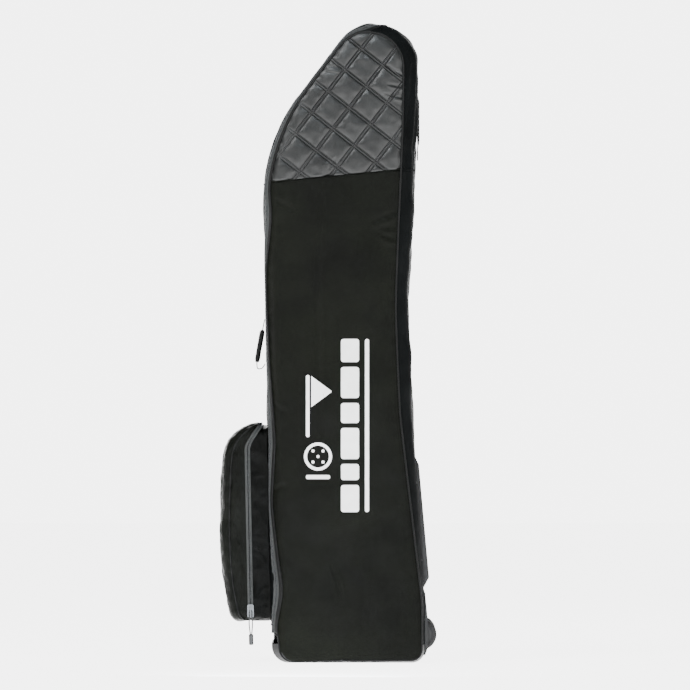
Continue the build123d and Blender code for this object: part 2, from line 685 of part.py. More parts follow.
def make_haul_handle():
    """Webbing sewn flat to the back of the hood at both ends, with a grip round its middle."""
    top, foot = (CASE_HEIGHT - drop for drop in HAUL_DROPS)
    width, thick = HAUL_BAND
    grip_w, grip_t, grip_len = HAUL_GRIP
    flat = HOOD_BACK_Y + thick / 2
    stand = HOOD_BACK_Y + grip_t / 2 + HAUL_GAP
    points = [(flat, top), (flat, top - HAUL_SEWN), (stand, top - HAUL_SEWN - HAUL_RISE)]
    points += [(stand, foot + HAUL_SEWN + HAUL_RISE), (flat, foot + HAUL_SEWN), (flat, foot)]
    band = band_along(points, [HAUL_BEND_R] * 4, width, thick)
    grip = Pos(0, stand, (top + foot) / 2) * Box(grip_w, grip_t, grip_len)
    outer = grip.edges().filter_by(lambda e: e.center().Y > stand)
    return band, fillet(outer, grip_t * 0.4) - band


# ---------------------------------------------------------------- straps inside
def inner_back_y(z):
    """Inner face of the back panel between the knee and the hood."""
    (y0, z0), (y1, z1) = BACK_KNEE, BACK_WAIST
    if z > z1:
        (y0, z0), (y1, z1) = BACK_WAIST, (HOOD_BACK_Y, HOOD_BACK_Z)
    elif z < z0:
        (y0, z0), (y1, z1) = (BASE_BACK, KICK_HEIGHT), BACK_KNEE
    return y0 + (y1 - y0) * (z - z0) / (z1 - z0) - WALL


def make_strap(z):
    """Webbing on the case, socket, plug and the plug's webbing; the buckle's joint is x = 0."""
    here = Pos(0, inner_back_y(z) - STRAP_OFF_BACK, z)
    width, thick = STRAP
    fit, wall = BUCKLE_FIT, SIDE_X - WALL
    length, depth, height = SOCKET
    band_y, band_z = (-thick / 2, thick / 2), (-width / 2, width / 2)
    slot_y = (-thick / 2 - fit, thick / 2 + fit)
    slot_z = (-width / 2 - fit, width / 2 + fit)
    prong_len, prong_thick, prong_width = PRONG
    gap_y = (-prong_thick / 2 - fit, prong_thick / 2 + fit)
    room = PRONG_SPACING + prong_width / 2 + fit
    bar = -length + 6  # the webbing turns round the socket's end
    socket = Pos(-length / 2, 0, 0) * fillet(Box(length, depth, height).edges(), 2)
    socket -= block((-prong_len - 4, 1), gap_y, (-room, room))
    socket -= block((-prong_len, -prong_len / 2), gap_y, (-height, height))
    socket -= block((-length - 1, -prong_len - 4), slot_y, slot_z)
    start, end = BUCKLE_FIT, BUCKLE_FIT + PLUG[0]
    body = fillet(Box(*PLUG).edges(), 2)
    plug = Pos((start + end) / 2, 0, 0) * body - block((start + 8, end + 1), slot_y, slot_z)
    prong_y = (-prong_thick / 2, prong_thick / 2)
    plug += block((-GUIDE[0], start + 2), prong_y, (-GUIDE[1] / 2, GUIDE[1] / 2))
    for sign in (-1, 1):
        middle = sign * PRONG_SPACING
        reach = (middle - prong_width / 2, middle + prong_width / 2)
        plug += block((-prong_len, start + 2), prong_y, reach)
    fixed = [
        here * block((-wall, bar), band_y, band_z),
        here * block((wall - thick, wall), (-10, 10), band_z),
    ]
    loose = here * block((start + 9, wall - thick - PLUG_TRAVEL - 2), band_y, band_z)
    return fixed, here * socket, here * plug, loose


# ---------------------------------------------------------------- the case
def build():
    outer, inner = case_block(0), case_block(-WALL)
    parts = make_shell(outer, inner)
    piping = make_piping()
    padding = make_hood_padding()
    for side, sign in (("right", 1), ("left", -1)):
        parts[f"piping_{side}"] = piping if sign > 0 else mirror(piping, Plane.YZ)
        parts[f"hood_padding_{side}"] = padding if sign > 0 else mirror(padding, Plane.YZ)
    parts["base_board"], back_board = make_boards()

    rail = make_rail()
    screws, nuts, back_panel = [], [], parts["back_panel"]
    for name, x in (("left", -WHEEL_X), ("centre", 0.0), ("right", WHEEL_X)):
        new_screws, new_nuts, holes = make_rail_fasteners(x)
        here = Pos(x, 0, 0) * rail
        for hole in holes:
            here -= hole
            back_panel -= hole
            back_board -= hole
        parts[f"skid_rail_{name}"] = here
        screws += new_screws
        nuts += new_nuts
    parts["skid_rail_screws"] = Compound(children=screws)
    parts["skid_rail_nuts"] = Compound(children=nuts)
    parts["back_board"] = back_board

    tyre, hub, bearings, axle, spacers = make_wheel()
    housing, recess, rivets = make_housing()
    base_shell, all_rivets, all_spacers = parts["base_shell"], [], []
    for side, sign in (("right", 1), ("left", -1)):
        here = Pos(sign * WHEEL_X, 0, 0)
        parts[f"wheel_tyre_{side}"] = here * tyre
        parts[f"wheel_hub_{side}"] = here * hub
        parts[f"wheel_bearings_{side}"] = Compound(children=[here * b for b in bearings])
        parts[f"wheel_axle_{side}"] = Compound(children=[here * a for a in axle])
        parts[f"wheel_housing_{side}"] = here * housing
        back_panel -= here * recess
        base_shell -= here * recess
        for rivet in rivets:
            back_panel -= here * rivet
            base_shell -= here * rivet
            all_rivets.append(here * rivet)
        all_spacers += [here * s for s in spacers]
    parts["back_panel"], parts["base_shell"] = back_panel, base_shell
    parts["wheel_spacers"] = Compound(children=all_spacers)
    parts["housing_rivets"] = Compound(children=all_rivets)

    parts.update(make_pocket())
    band, grip, anchors = make_carry_handle()
    parts["carry_handle_webbing"], parts["carry_handle_grip"] = band, grip
    parts["carry_handle_anchors"] = Compound(children=anchors)
    parts["haul_handle_webbing"], parts["haul_handle_grip"] = make_haul_handle()

    main, widening = main_slider_plane()
    half_coil = (COIL[0] + JOINT_GAP / 2) * widening
    slider, bail = add_bail(*make_slider(COIL[1], half_coil, -1))
    parts["main_zip_slider"] = main * slider
    parts["main_zip_pull"] = main * Pos(0, 0, bail) * make_pull_tab()
    pocket = pocket_slider_plane()
    slider, cord_z = add_bridge(*make_slider(POCKET_COIL[1], POCKET_COIL[0] + JOINT_GAP / 2, 1))
    parts["pocket_zip_slider"] = pocket * slider
    cord, length = make_pull_cord()
    print("pull cord length, mm:", round(length, 1))
    hang = pocket * Pos(0, 0, cord_z)
    parts["pocket_pull_cord"] = hang * cord
    parts["pocket_pull_tip"] = hang * (make_pull_tip() - cord)

    straps = []
    for name, z in zip(("lower", "upper"), STRAP_HEIGHTS):
        fixed, socket, plug, loose = make_strap(z)
        straps += fixed
        parts[f"{name}_buckle_socket"] = socket
        parts[f"{name}_buckle_plug"] = plug
        parts[f"{name}_plug_webbing"] = loose
    parts["strap_webbing"] = Compound(children=straps)
    return parts


if __name__ == "__main__":
    os.makedirs("parts", exist_ok=True)
    for name, shape in build().items():
        export_step(shape, f"parts/{name}.step")
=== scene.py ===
"""Looks of a wheeled golf travel case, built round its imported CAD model. Metres throughout.

Soft panels are drawn on one skin, in two coordinates: s runs round the case's
outline in the Y-Z plane, from under the middle of the base, up the front, over
the hood and down the back, and w runs across it from the middle, over the
slanting shoulder to the side panel's seam and on into the side panel.
"""

import math

import bpy
import numpy as np
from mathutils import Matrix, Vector
from mathutils.bvhtree import BVHTree


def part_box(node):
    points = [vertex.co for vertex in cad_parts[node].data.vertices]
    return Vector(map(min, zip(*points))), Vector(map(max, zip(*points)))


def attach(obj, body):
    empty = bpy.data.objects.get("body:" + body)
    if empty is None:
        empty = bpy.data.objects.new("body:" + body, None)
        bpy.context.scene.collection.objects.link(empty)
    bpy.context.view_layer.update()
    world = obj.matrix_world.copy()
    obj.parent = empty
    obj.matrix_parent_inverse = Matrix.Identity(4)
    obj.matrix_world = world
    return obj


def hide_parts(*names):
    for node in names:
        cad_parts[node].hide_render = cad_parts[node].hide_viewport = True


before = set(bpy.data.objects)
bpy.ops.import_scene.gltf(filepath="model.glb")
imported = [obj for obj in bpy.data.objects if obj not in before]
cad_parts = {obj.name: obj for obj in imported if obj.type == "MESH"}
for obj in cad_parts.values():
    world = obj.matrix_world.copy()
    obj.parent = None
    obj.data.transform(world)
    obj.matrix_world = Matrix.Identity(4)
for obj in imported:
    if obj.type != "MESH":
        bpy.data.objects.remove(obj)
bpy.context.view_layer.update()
MM = 0.001

# ---- sizes taken from the frame ----
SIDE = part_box("side_panel_right")[1][0]  # outer face of the side panels
HOOD_LOW, HOOD_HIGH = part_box("hood_side_right")
PANEL_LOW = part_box("side_panel_right")[0]
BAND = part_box("front_panel")[1][0]  # half width of the flat band
TAPE_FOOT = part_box("main_zip_tape_case")[0][2]
HINGE_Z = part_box("front_panel")[0][2]
ZIP_APEX_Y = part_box("main_zip_coil_door")[1][1]
ZIP_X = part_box("main_zip_coil_door")[1][0] + 0.4 * MM
ZIP_CORNER = 40 * MM
BASE_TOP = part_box("base_shell")[1][2]

# ---- sizes of the details ----
CLOTH = 2.6 * MM
ZIP_GAP = 0.5 * MM
TAPE_WIDTH = 8 * MM
HEM_FROM = 7.4 * MM  # the cloth's hem covers the fixed tape from here
HEM_WIDTH = 15 * MM
TAPE_LIFT = 0.15 * MM  # above the skin
COIL_WIDTH = 2.6 * MM
COIL_LIFT = 0.1 * MM
TOOTH_PITCH = 2.6 * MM
PIPING_R = 2.0 * MM
SHOULDER_ROUND = 9 * MM
PANEL_TUCK = ZIP_GAP + TAPE_WIDTH - 3 * MM  # from the zip's line to the cloth beside it


# ---------------------------------------------------------------- camera and light
def add_camera():
    """Level with the case's middle, square on to its near side."""
    data = bpy.data.cameras.new("camera")
    camera = bpy.data.objects.new("camera", data)
    bpy.context.collection.objects.link(camera)
    distance, field = 18.0, 1.38
    data.sensor_width = 36
    data.lens = data.sensor_width * distance / field
    data.clip_end = 60
    camera.location = (SIDE + distance, -0.008, 0.636)
    camera.rotation_euler = (math.pi / 2, 0, math.pi / 2)
    bpy.context.scene.camera = camera


def add_area(name, location, target, size, power, tint=(1, 1, 1)):
    """A square light at location, aimed at target."""
    data = bpy.data.lights.new(name, "AREA")
    data.shape, data.size, data.energy, data.color = "SQUARE", size, power, tint
    light = bpy.data.objects.new(name, data)
    bpy.context.collection.objects.link(light)
    light.location = location
    aim = Vector(target) - Vector(location)
    light.rotation_euler = aim.to_track_quat("-Z", "Y").to_euler()


def add_stage():
    """A pale glowing floor, and a dim world that is white behind the case."""
    reach = 14.0
    mesh = bpy.data.meshes.new("floor")
    mesh.from_pydata(
        [(-reach, -reach, 0), (reach, -reach, 0), (reach, reach, 0), (-reach, reach, 0)],
        [], [(0, 1, 2, 3)],
    )
    floor = bpy.data.objects.new("floor", mesh)
    bpy.context.collection.objects.link(floor)
    pale = bpy.data.materials.new("pale_floor")
    pale.use_nodes = True
    shader = pale.node_tree.nodes["Principled BSDF"]
    shader.inputs["Base Color"].default_value = (0.3, 0.3, 0.3, 1)
    shader.inputs["Roughness"].default_value = 1.0
    shader.inputs["Specular IOR Level"].default_value = 0.0
    shader.inputs["Emission Color"].default_value = (1, 1, 1, 1)
    shader.inputs["Emission Strength"].default_value = 5.0
    mesh.materials.append(pale)
    world = bpy.data.worlds.new("studio")
    bpy.context.scene.world = world
    world.use_nodes = True
    tree = world.node_tree
    sky = tree.nodes["Background"]
    sky.inputs["Color"].default_value = (1, 1, 1, 1)
    towards = tree.nodes.new("ShaderNodeTexCoord")
    apart = tree.nodes.new("ShaderNodeSeparateXYZ")
    lit = tree.nodes.new("ShaderNodeMapRange")
    tree.links.new(towards.outputs["Generated"], apart.inputs[0])
    tree.links.new(apart.outputs["X"], lit.inputs["Value"])
    for name, value in (("From Min", -0.86), ("From Max", -0.95), ("To Min", 0.25), ("To Max", 5.3)):
        lit.inputs[name].default_value = value
    tree.links.new(lit.outputs[0], sky.inputs["Strength"])


# ---------------------------------------------------------------- materials
class Recipe:
    """A material being put together from nodes."""

    def __init__(self, name):
        self.material = bpy.data.materials.new(name)
        self.material.use_nodes = True
        self.tree = self.material.node_tree
        self.shader = self.tree.nodes["Principled BSDF"]
        self.place = self.tree.nodes.new("ShaderNodeTexCoord").outputs["Object"]

    def node(self, kind, values=(), **settings):
        made = self.tree.nodes.new("ShaderNode" + kind)
        for key, value in settings.items():
            setattr(made, key, value)
        for socket, value in dict(values).items():
            if isinstance(value, bpy.types.NodeSocket):
                self.tree.links.new(value, made.inputs[socket])
            else:
                made.inputs[socket].default_value = value
        return made

    def set(self, **values):
        for key, value in values.items():
            socket = self.shader.inputs[key.replace("_", " ")]
            if isinstance(value, bpy.types.NodeSocket):
                self.tree.links.new(value, socket)
            else:
                socket.default_value = value

    def noise(self, scale, detail=3.0, stretch=(1, 1, 1)):
        place = self.node("Mapping", {"Vector": self.place, "Scale": stretch}).outputs[0]
        made = self.node("TexNoise", {"Vector": place, "Scale": scale, "Detail": detail})
        return made.outputs["Fac"]

    def bands(self, pitch, direction):
        """Soft parallel ridges, `pitch` apart along an object axis or the diagonal."""
        scale = 2 * math.pi / (20 * pitch)
        return self.node(
            "TexWave", {"Vector": self.place, "Scale": scale}, bands_direction=direction
        ).outputs["Fac"]

    def mix(self, low, high, share):
        made = self.node("Mix", {"Factor": share}, data_type="RGBA")
        made.inputs["A"].default_value = (*low, 1)
        made.inputs["B"].default_value = (*high, 1)
        return made.outputs["Result"]

    def spread(self, source, low, high, out_low, out_high):
        return self.node(
            "MapRange",
            {"Value": source, "From Min": low, "From Max": high, "To Min": out_low, "To Max": out_high},
        ).outputs[0]

    def math(self, operation, a, b):
        return self.node("Math", {0: a, 1: b}, operation=operation).outputs[0]

    def bump(self, height, distance, strength=1.0, under=None):
        values = {"Height": height, "Distance": distance, "Strength": strength}
        if under is not None:
            values["Normal"] = under
        return self.node("Bump", values).outputs["Normal"]


def woven(name, dark, light, pitch=0.7 * MM, rough=(0.42, 0.6), sheen=0.0, gloss=0.28, creased=1.0):
    """Woven nylon: crossed yarns, slubs and a faint unevenness in colour and gloss."""
    r = Recipe(name)
    warp, weft = r.bands(pitch, "Z"), r.bands(pitch, "DIAGONAL")
    weave = r.math("MULTIPLY", warp, weft)
    blotch = r.noise(9, 5)
    slub = r.noise(160, 2, (1, 1, 6))
    share = r.math("MULTIPLY", r.spread(blotch, 0.3, 0.7, 0.2, 0.8), r.spread(slub, 0.3, 0.7, 0.6, 1.2))
    yarn = r.math("MULTIPLY", share, r.spread(weave, 0, 1, 0.75, 1.15))
    r.set(Base_Color=r.mix(dark, light, yarn))
    r.set(Roughness=r.spread(r.noise(24, 4), 0.3, 0.7, *rough), Sheen_Weight=sheen, Sheen_Roughness=0.45)
    r.set(Sheen_Tint=(0.8, 0.85, 0.9, 1), Specular_IOR_Level=gloss)
    crumple = r.bump(r.noise(9, 3, (1, 1, 0.35)), 9 * MM, 0.5)
    crumple = r.bump(r.noise(45, 6, (1, 1, 0.6)), creased * 2 * MM, 0.3, crumple)
    r.set(Normal=r.bump(weave, 0.25 * MM, 0.6, crumple))
    return r.material


def webbing(name, dark, light, pitch=1.6 * MM):
    """Ribbed webbing: ribs across the run and fine yarns along it."""
    r = Recipe(name)
    ribs, yarns = r.bands(pitch, "Z"), r.bands(pitch / 2.2, "X")
    weave = r.math("MULTIPLY", ribs, r.spread(yarns, 0, 1, 0.6, 1))
    r.set(Base_Color=r.mix(dark, light, r.math("MULTIPLY", weave, r.spread(r.noise(60), 0.3, 0.7, 0.5, 1))))
    r.set(Roughness=r.spread(weave, 0, 1, 0.75, 0.5), Specular_IOR_Level=0.35)
    r.set(Normal=r.bump(weave, 0.5 * MM, 0.8))
    return r.material


def moulded(name, dark, light, rough=(0.4, 0.6), grain=0.12 * MM, scuff=0.0):
    """Moulded plastic or rubber with a fine grain and rubbed, slightly paler edges."""
    r = Recipe(name)
    grains, cloud = r.noise(900, 2), r.noise(22, 5)
    scratch = r.noise(70, 6, (1, 1, 9))
    share = r.spread(cloud, 0.35, 0.7, 0.1, 0.7)
    if scuff:
        edge_wear_and_groove_shade = r.node("NewGeometry").outputs["Pointiness"]
        edge = r.math("MULTIPLY", r.spread(edge_wear_and_groove_shade, 0.52, 0.6, 0, scuff), r.spread(scratch, 0.4, 0.6, 0, 1))
        share = r.math("ADD", share, edge)
    r.set(Base_Color=r.mix(dark, light, share))
    r.set(Roughness=r.spread(scratch, 0.35, 0.65, *rough), Specular_IOR_Level=0.35)
    r.set(Normal=r.bump(grains, grain, 0.5, r.bump(scratch, 0.1 * MM, 0.3)))
    return r.material


def metal(name, colour, rough=(0.22, 0.4)):
    """Brushed metal."""
    r = Recipe(name)
    brushed = r.noise(120, 4, (8, 1, 1))
    dull = tuple(0.7 * c for c in colour)
    r.set(Base_Color=r.mix(dull, colour, brushed), Metallic=1.0)
    r.set(Roughness=r.spread(brushed, 0.3, 0.7, *rough), Normal=r.bump(brushed, 0.05 * MM, 0.3))
    return r.material


def printed(name, colour):
    """Screen print: flat ink that shows the weave under it."""
    r = Recipe(name)
    weave = r.math("MULTIPLY", r.bands(0.7 * MM, "Z"), r.bands(0.7 * MM, "DIAGONAL"))
    dull = tuple(0.86 * c for c in colour)
    r.set(Base_Color=r.mix(dull, colour, r.spread(r.noise(40, 5), 0.3, 0.6, 0.4, 1)))
    r.set(Roughness=r.spread(weave, 0, 1, 0.55, 0.45), Normal=r.bump(weave, 0.15 * MM, 0.4))
    return r.material


QUILT_ANGLE = 52.0
QUILT_PITCH = 54 * MM
QUILT_FROM = (113 * MM, 182 * MM)  # one crossing of the stitching, from the hood panel's corner
QUILT_FADE = (-47 * MM, -20 * MM)  # the stitching fades out towards the hood's front edge
STITCH_APART = 2.5 * MM  # from the middle of a quilting line to each of its two rows of stitches


def quilted_nylon():
    """Glossy nylon with the quilting's two rows of stitches drawn into it, and painted shade darkening the
    cloth along the stitched grooves.
    """
    r = Recipe("nylon_quilt")
    angle = math.radians(QUILT_ANGLE)
    apart = r.node("SeparateXYZ", {0: r.place})
    y = r.math("SUBTRACT", apart.outputs["Y"], HOOD_LOW[1] + QUILT_FROM[0])
    z = r.math("SUBTRACT", apart.outputs["Z"], HOOD_LOW[2] + QUILT_FROM[1])
    runs = []
    for a, b in ((math.cos(angle), math.sin(angle)), (-math.sin(angle), math.cos(angle))):
        runs.append(r.math("ADD", r.math("MULTIPLY", y, a), r.math("MULTIPLY", z, b)))
    grooves, holes = [], []
    for along, across in ((runs[1], runs[0]), (runs[0], runs[1])):
        share = r.math("DIVIDE", across, QUILT_PITCH)
        part = r.math("SUBTRACT", share, r.math("ROUND", share, 0))
        gap = r.math("MULTIPLY", r.math("ABSOLUTE", part, 0), QUILT_PITCH)
        off = r.math("ABSOLUTE", r.math("SUBTRACT", gap, STITCH_APART), 0)
        grooves.append(r.spread(off, 0.2 * MM, 1.9 * MM, 1, 0))
        dash = r.math("ABSOLUTE", r.math("SINE", r.math("MULTIPLY", along, math.pi / (3.4 * MM)), 0), 0)
        row = r.spread(off, 0.35 * MM, 0.8 * MM, 1, 0)
        holes.append(r.math("MULTIPLY", row, r.spread(dash, 0.15, 0.5, 1, 0)))
    inward = r.math("ADD", r.math("MULTIPLY", y, 0.922), r.math("MULTIPLY", z, -0.385))
    strength = r.spread(inward, QUILT_FADE[0], QUILT_FADE[1], 0.12, 1)
    groove = r.math("MULTIPLY", r.math("MAXIMUM", *grooves), strength)
    hole = r.math("MULTIPLY", r.math("MAXIMUM", *holes), strength)
    warp, weft = r.bands(0.6 * MM, "Z"), r.bands(0.6 * MM, "DIAGONAL")
    weave = r.math("MULTIPLY", warp, weft)
    tone = r.spread(r.noise(14, 5), 0.3, 0.7, 0.1, 1)
    cloth = r.mix((0.0014, 0.0016, 0.0015), (0.0060, 0.0067, 0.0065), tone)
    # painted shade: the cloth is mixed towards near-black along the stitched grooves, where the quilting dips
    edge_wear_and_groove_shade = r.node("Mix", {"Factor": r.math("MULTIPLY", groove, 0.75)}, data_type="RGBA")
    r.tree.links.new(cloth, edge_wear_and_groove_shade.inputs["A"])
    edge_wear_and_groove_shade.inputs["B"].default_value = (0.0006, 0.0007, 0.0007, 1)
    r.set(Base_Color=edge_wear_and_groove_shade.outputs["Result"])
    rough = r.math("ADD", r.spread(r.noise(30, 4), 0.3, 0.7, 0.34, 0.46), r.math("MULTIPLY", groove, 0.3))
    r.set(Roughness=rough, Specular_IOR_Level=0.36)
    crumple = r.bump(r.noise(70, 5), 1.6 * MM, 0.35)
    depth = r.math("SUBTRACT", r.math("MULTIPLY", groove, -1.0), r.math("MULTIPLY", hole, 0.5))
    sewn = r.bump(depth, 1.5 * MM, 0.9, crumple)
    r.set(Normal=r.bump(weave, 0.15 * MM, 0.4, sewn))
    return r.material


BLACK = {
    "quilt": quilted_nylon(),
    "panel": woven("nylon_panel", (0.0004, 0.0005, 0.0003), (0.0048, 0.0058, 0.0034),
                   rough=(0.38, 0.55), gloss=0.06, creased=1.5),
    "band": woven("nylon_band", (0.0006, 0.0008, 0.0008), (0.0040, 0.0050, 0.0052),
                  rough=(0.5, 0.7), gloss=0.035, creased=2),
    "pocket": woven("nylon_pocket", (0.0005, 0.0007, 0.0004), (0.0044, 0.0052, 0.0036),
                    rough=(0.3, 0.48), gloss=0.06, creased=3),
    "gusset": woven("nylon_gusset", (0.0003, 0.0004, 0.0003), (0.0026, 0.0030, 0.0026),
                    rough=(0.26, 0.42), gloss=0.05, creased=3),
    "lining": woven("lining", (0.010, 0.010, 0.011), (0.020, 0.020, 0.022), rough=(0.7, 0.85)),
    "piping": woven("piping_tape", (0.0008, 0.0009, 0.0009), (0.0026, 0.003, 0.0029),
                    pitch=0.9 * MM, gloss=0.15),
    "grip": woven("grip_sleeve", (0.0010, 0.0012, 0.0012), (0.0032, 0.0036, 0.0036),
                  pitch=0.9 * MM, gloss=0.15),
}
TAPE = woven("zip_tape", (0.014, 0.0155, 0.0148), (0.040, 0.042, 0.041),
             pitch=1.1 * MM, rough=(0.7, 0.85), sheen=0.1)
COIL = moulded("zip_coil", (0.018, 0.019, 0.02), (0.034, 0.036, 0.037), rough=(0.3, 0.42))
THREAD = moulded("thread", (0.008, 0.0085, 0.0085), (0.02, 0.021, 0.021), rough=(0.4, 0.55))
WEBBING = webbing("nylon_webbing", (0.0014, 0.0016, 0.0016), (0.006, 0.0066, 0.0066))
HARD = moulded("moulded_black", (0.002, 0.0021, 0.0022), (0.007, 0.0073, 0.0076), scuff=0.7)
GREY = moulded("moulded_grey", (0.006, 0.0062, 0.0065), (0.015, 0.0153, 0.0157), scuff=0.5)
TYRE = moulded("tyre_rubber", (0.0045, 0.0045, 0.0046), (0.012, 0.012, 0.0122),
               rough=(0.6, 0.8), grain=0.3 * MM)
GLOSS = moulded("acetal", (0.005, 0.005, 0.0052), (0.011, 0.011, 0.0115),
                rough=(0.25, 0.38), grain=0.04 * MM)
STEEL = metal("zinc_steel", (0.55, 0.56, 0.57))
POLISHED = metal("bearing_steel", (0.72, 0.72, 0.72), rough=(0.12, 0.22))
DARK_METAL = metal("black_zinc", (0.09, 0.092, 0.095), rough=(0.3, 0.45))
PADDING = moulded("foam", (0.09, 0.09, 0.09), (0.16, 0.16, 0.16), rough=(0.85, 0.95), grain=0.6 * MM)
INK = printed("white_ink", (0.80, 0.80, 0.79))
CORD = webbing("cord_braid", (0.012, 0.0125, 0.013), (0.045, 0.047, 0.048), pitch=1.2 * MM)


def dress_nodes():
    """Better materials for the CAD nodes that stay."""
    looks = {
        "base_board": GREY, "back_board": GREY, "skid_rail_": HARD, "wheel_housing_": HARD,
        "skid_rail_screws": STEEL, "skid_rail_nuts": STEEL, "housing_rivets": STEEL,
        "wheel_tyre_": TYRE, "wheel_hub_": GREY, "wheel_bearings_": POLISHED,
        "wheel_axle_": STEEL, "wheel_spacers": GREY, "main_zip_slider": DARK_METAL,
        "main_zip_pull": DARK_METAL, "pocket_zip_slider": DARK_METAL, "pocket_pull_tip": GLOSS,
        "strap_webbing": WEBBING, "lower_plug_webbing": WEBBING, "upper_plug_webbing": WEBBING,
        "lower_buckle_": GLOSS, "upper_buckle_": GLOSS, "hood_padding_": PADDING,
        "base_shell": HARD,
    }
    for name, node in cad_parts.items():
        keys = [key for key in looks if name.startswith(key)]
        if keys:
            look = looks[max(keys, key=len)]
            for slot in node.material_slots:
                slot.material = look
            node.data.shade_smooth()
            if not node.data.materials:
                node.data.materials.append(look)


# ---------------------------------------------------------------- the skin
def run_along(path):
    """Distance from the start of a path to each of its points."""
    steps = np.linalg.norm(np.diff(path, axis=0), axis=1)
    return np.concatenate([[0], np.cumsum(steps)])


def sample(at, run, rows):
    """The rows of a path, `run` along it, read at other distances."""
    return np.stack([np.interp(at, run, column) for column in np.asarray(rows).T], -1)


def outer_tree(names):
    """The named CAD nodes as one body for rays to hit."""
    verts, faces = [], []
    for name in names:
        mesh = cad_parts[name].data
        base = len(verts)
        verts += [v.co.copy() for v in mesh.vertices]
        faces += [[base + i for i in face.vertices] for face in mesh.polygons]
    return BVHTree.FromPolygons(verts, faces)


def outline_at(x, names, count=2400):
    """Closed outline of the case at x, as (y, z) rows, from rays sent outward."""
    tree = outer_tree(names)
    start = Vector((x, -0.02, (PANEL_LOW[2] + HOOD_HIGH[2]) / 2))
    rows = []
    for i in range(count):
        a = -math.pi / 2 - 2 * math.pi * i / count
        ray, hit, origin = Vector((0, math.cos(a), math.sin(a))), None, start
        while True:
            found = tree.ray_cast(origin, ray)[0]
            if found is None:
                break
            hit, origin = found, found + ray * 1e-5
        if hit is not None:  # a ray can pass through the gap beside a zip
            rows.append((hit.y, hit.z))
    return np.array(rows)


def evenly(rows, count):
    """The closed outline at `count` + 1 even steps, and its length."""
    closed = np.vstack([rows, rows[:1]])
    run = run_along(closed)
    return sample(np.linspace(0, run[-1], count + 1), run, closed), run[-1]


def smoothed(rows, passes):
    """Rows of a closed outline, each averaged with its neighbours."""
    ring = rows[:-1]
    for _ in range(passes):
        ring = (np.roll(ring, 1, 0) + 2 * ring + np.roll(ring, -1, 0)) / 4
    return np.vstack([ring, ring[:1]])


STEPS = 1600
SHELL = ["front_panel", "hood_front_panel", "front_skirt", "base_shell", "back_panel", "hood_back_panel"]
BAND_LINE, LENGTH = evenly(outline_at(0.0, SHELL), STEPS)
SEAM_RAW, _ = evenly(outline_at(SIDE - 0.5 * MM, ["side_panel_right", "hood_side_right"]), 4 * STEPS)
NEAREST = [int(np.argmin(((SEAM_RAW - p) ** 2).sum(1))) for p in BAND_LINE]
SEAM_LINE = smoothed(SEAM_RAW[NEAREST], 12)
BAND_LINE = smoothed(BAND_LINE, 6)
S_AXIS = np.linspace(0, LENGTH, STEPS + 1)
SHOULDER_LENGTH = np.sqrt((SIDE - BAND) ** 2 + ((BAND_LINE - SEAM_LINE) ** 2).sum(1))
_along = np.roll(SEAM_LINE, -3, 0) - np.roll(SEAM_LINE, 3, 0)
_along /= np.maximum(np.hypot(*_along.T), 1e-9)[:, None]
INWARD = np.stack([_along[:, 1], -_along[:, 0]], 1)


def along_s(table, s):
    """A table with one row for each step round the outline, read at s."""
    s = np.mod(s, LENGTH)
    if table.ndim == 1:
        return np.interp(s, S_AXIS, table)
    return sample(s, S_AXIS, table)


def seam_w(s):
    """w where the shoulder meets the side panel's seam, at s."""
    return BAND + along_s(SHOULDER_LENGTH, s)


def sharp_skin(s, w):
    """Points of the skin before its shoulders are rounded."""
    size = np.abs(w)
    band, seam, reach = along_s(BAND_LINE, s), along_s(SEAM_LINE, s), seam_w(s)
    share = np.clip((size - BAND) / (reach - BAND), 0, 1)[..., None]
    flat = band + (seam - band) * share
    flat = flat + along_s(INWARD, s) * np.maximum(size - reach, 0)[..., None]
    x = np.where(size < BAND, size, BAND + (SIDE - BAND) * share[..., 0])
    return np.concatenate([(np.sign(w) * x)[..., None], flat], -1)


def round_skin(s, w):
    """Points of the skin, averaged across w to round its shoulders."""
    total = 0
    for k, weight in zip((-1, -0.5, 0, 0.5, 1), (1, 2, 2, 2, 1)):
        total = total + weight / 8 * sharp_skin(s, w + k * SHOULDER_ROUND)
    return total


def skin(s, w, lift=0.0):
    """Points of the rounded skin, `lift` outward of it."""
    s, w = np.broadcast_arrays(np.asarray(s, float), np.asarray(w, float))
    step = 1.5 * MM
    across = round_skin(s, w + step) - round_skin(s, w - step)
    along = round_skin(s + step, w) - round_skin(s - step, w)
    normal = np.cross(across, along)
    normal /= np.linalg.norm(normal, axis=-1, keepdims=True)
    return round_skin(s, w) + normal * np.asarray(lift)[..., None]


FRONT_ROWS = slice(int(STEPS * 0.06), int(STEPS * 0.42))


def s_on_front(z):
    """s where the front of the band is at height z."""
    return float(np.interp(z, BAND_LINE[FRONT_ROWS, 1], S_AXIS[FRONT_ROWS]))


def s_on_top(y):
    """s where the band crosses y on its way over the hood."""
    top = int(np.argmax(BAND_LINE[:, 1]))
    rows = slice(top - int(STEPS * 0.06), top + int(STEPS * 0.022))
    return float(np.interp(y, BAND_LINE[rows, 0], S_AXIS[rows]))


def s_on_back(z):
    """s where the back of the band is at height z."""
    top = int(np.argmax(BAND_LINE[:, 1])) + int(STEPS * 0.04)
    back = slice(top, int(STEPS * 0.965))
    return float(np.interp(-z, -BAND_LINE[back, 1], S_AXIS[back]))


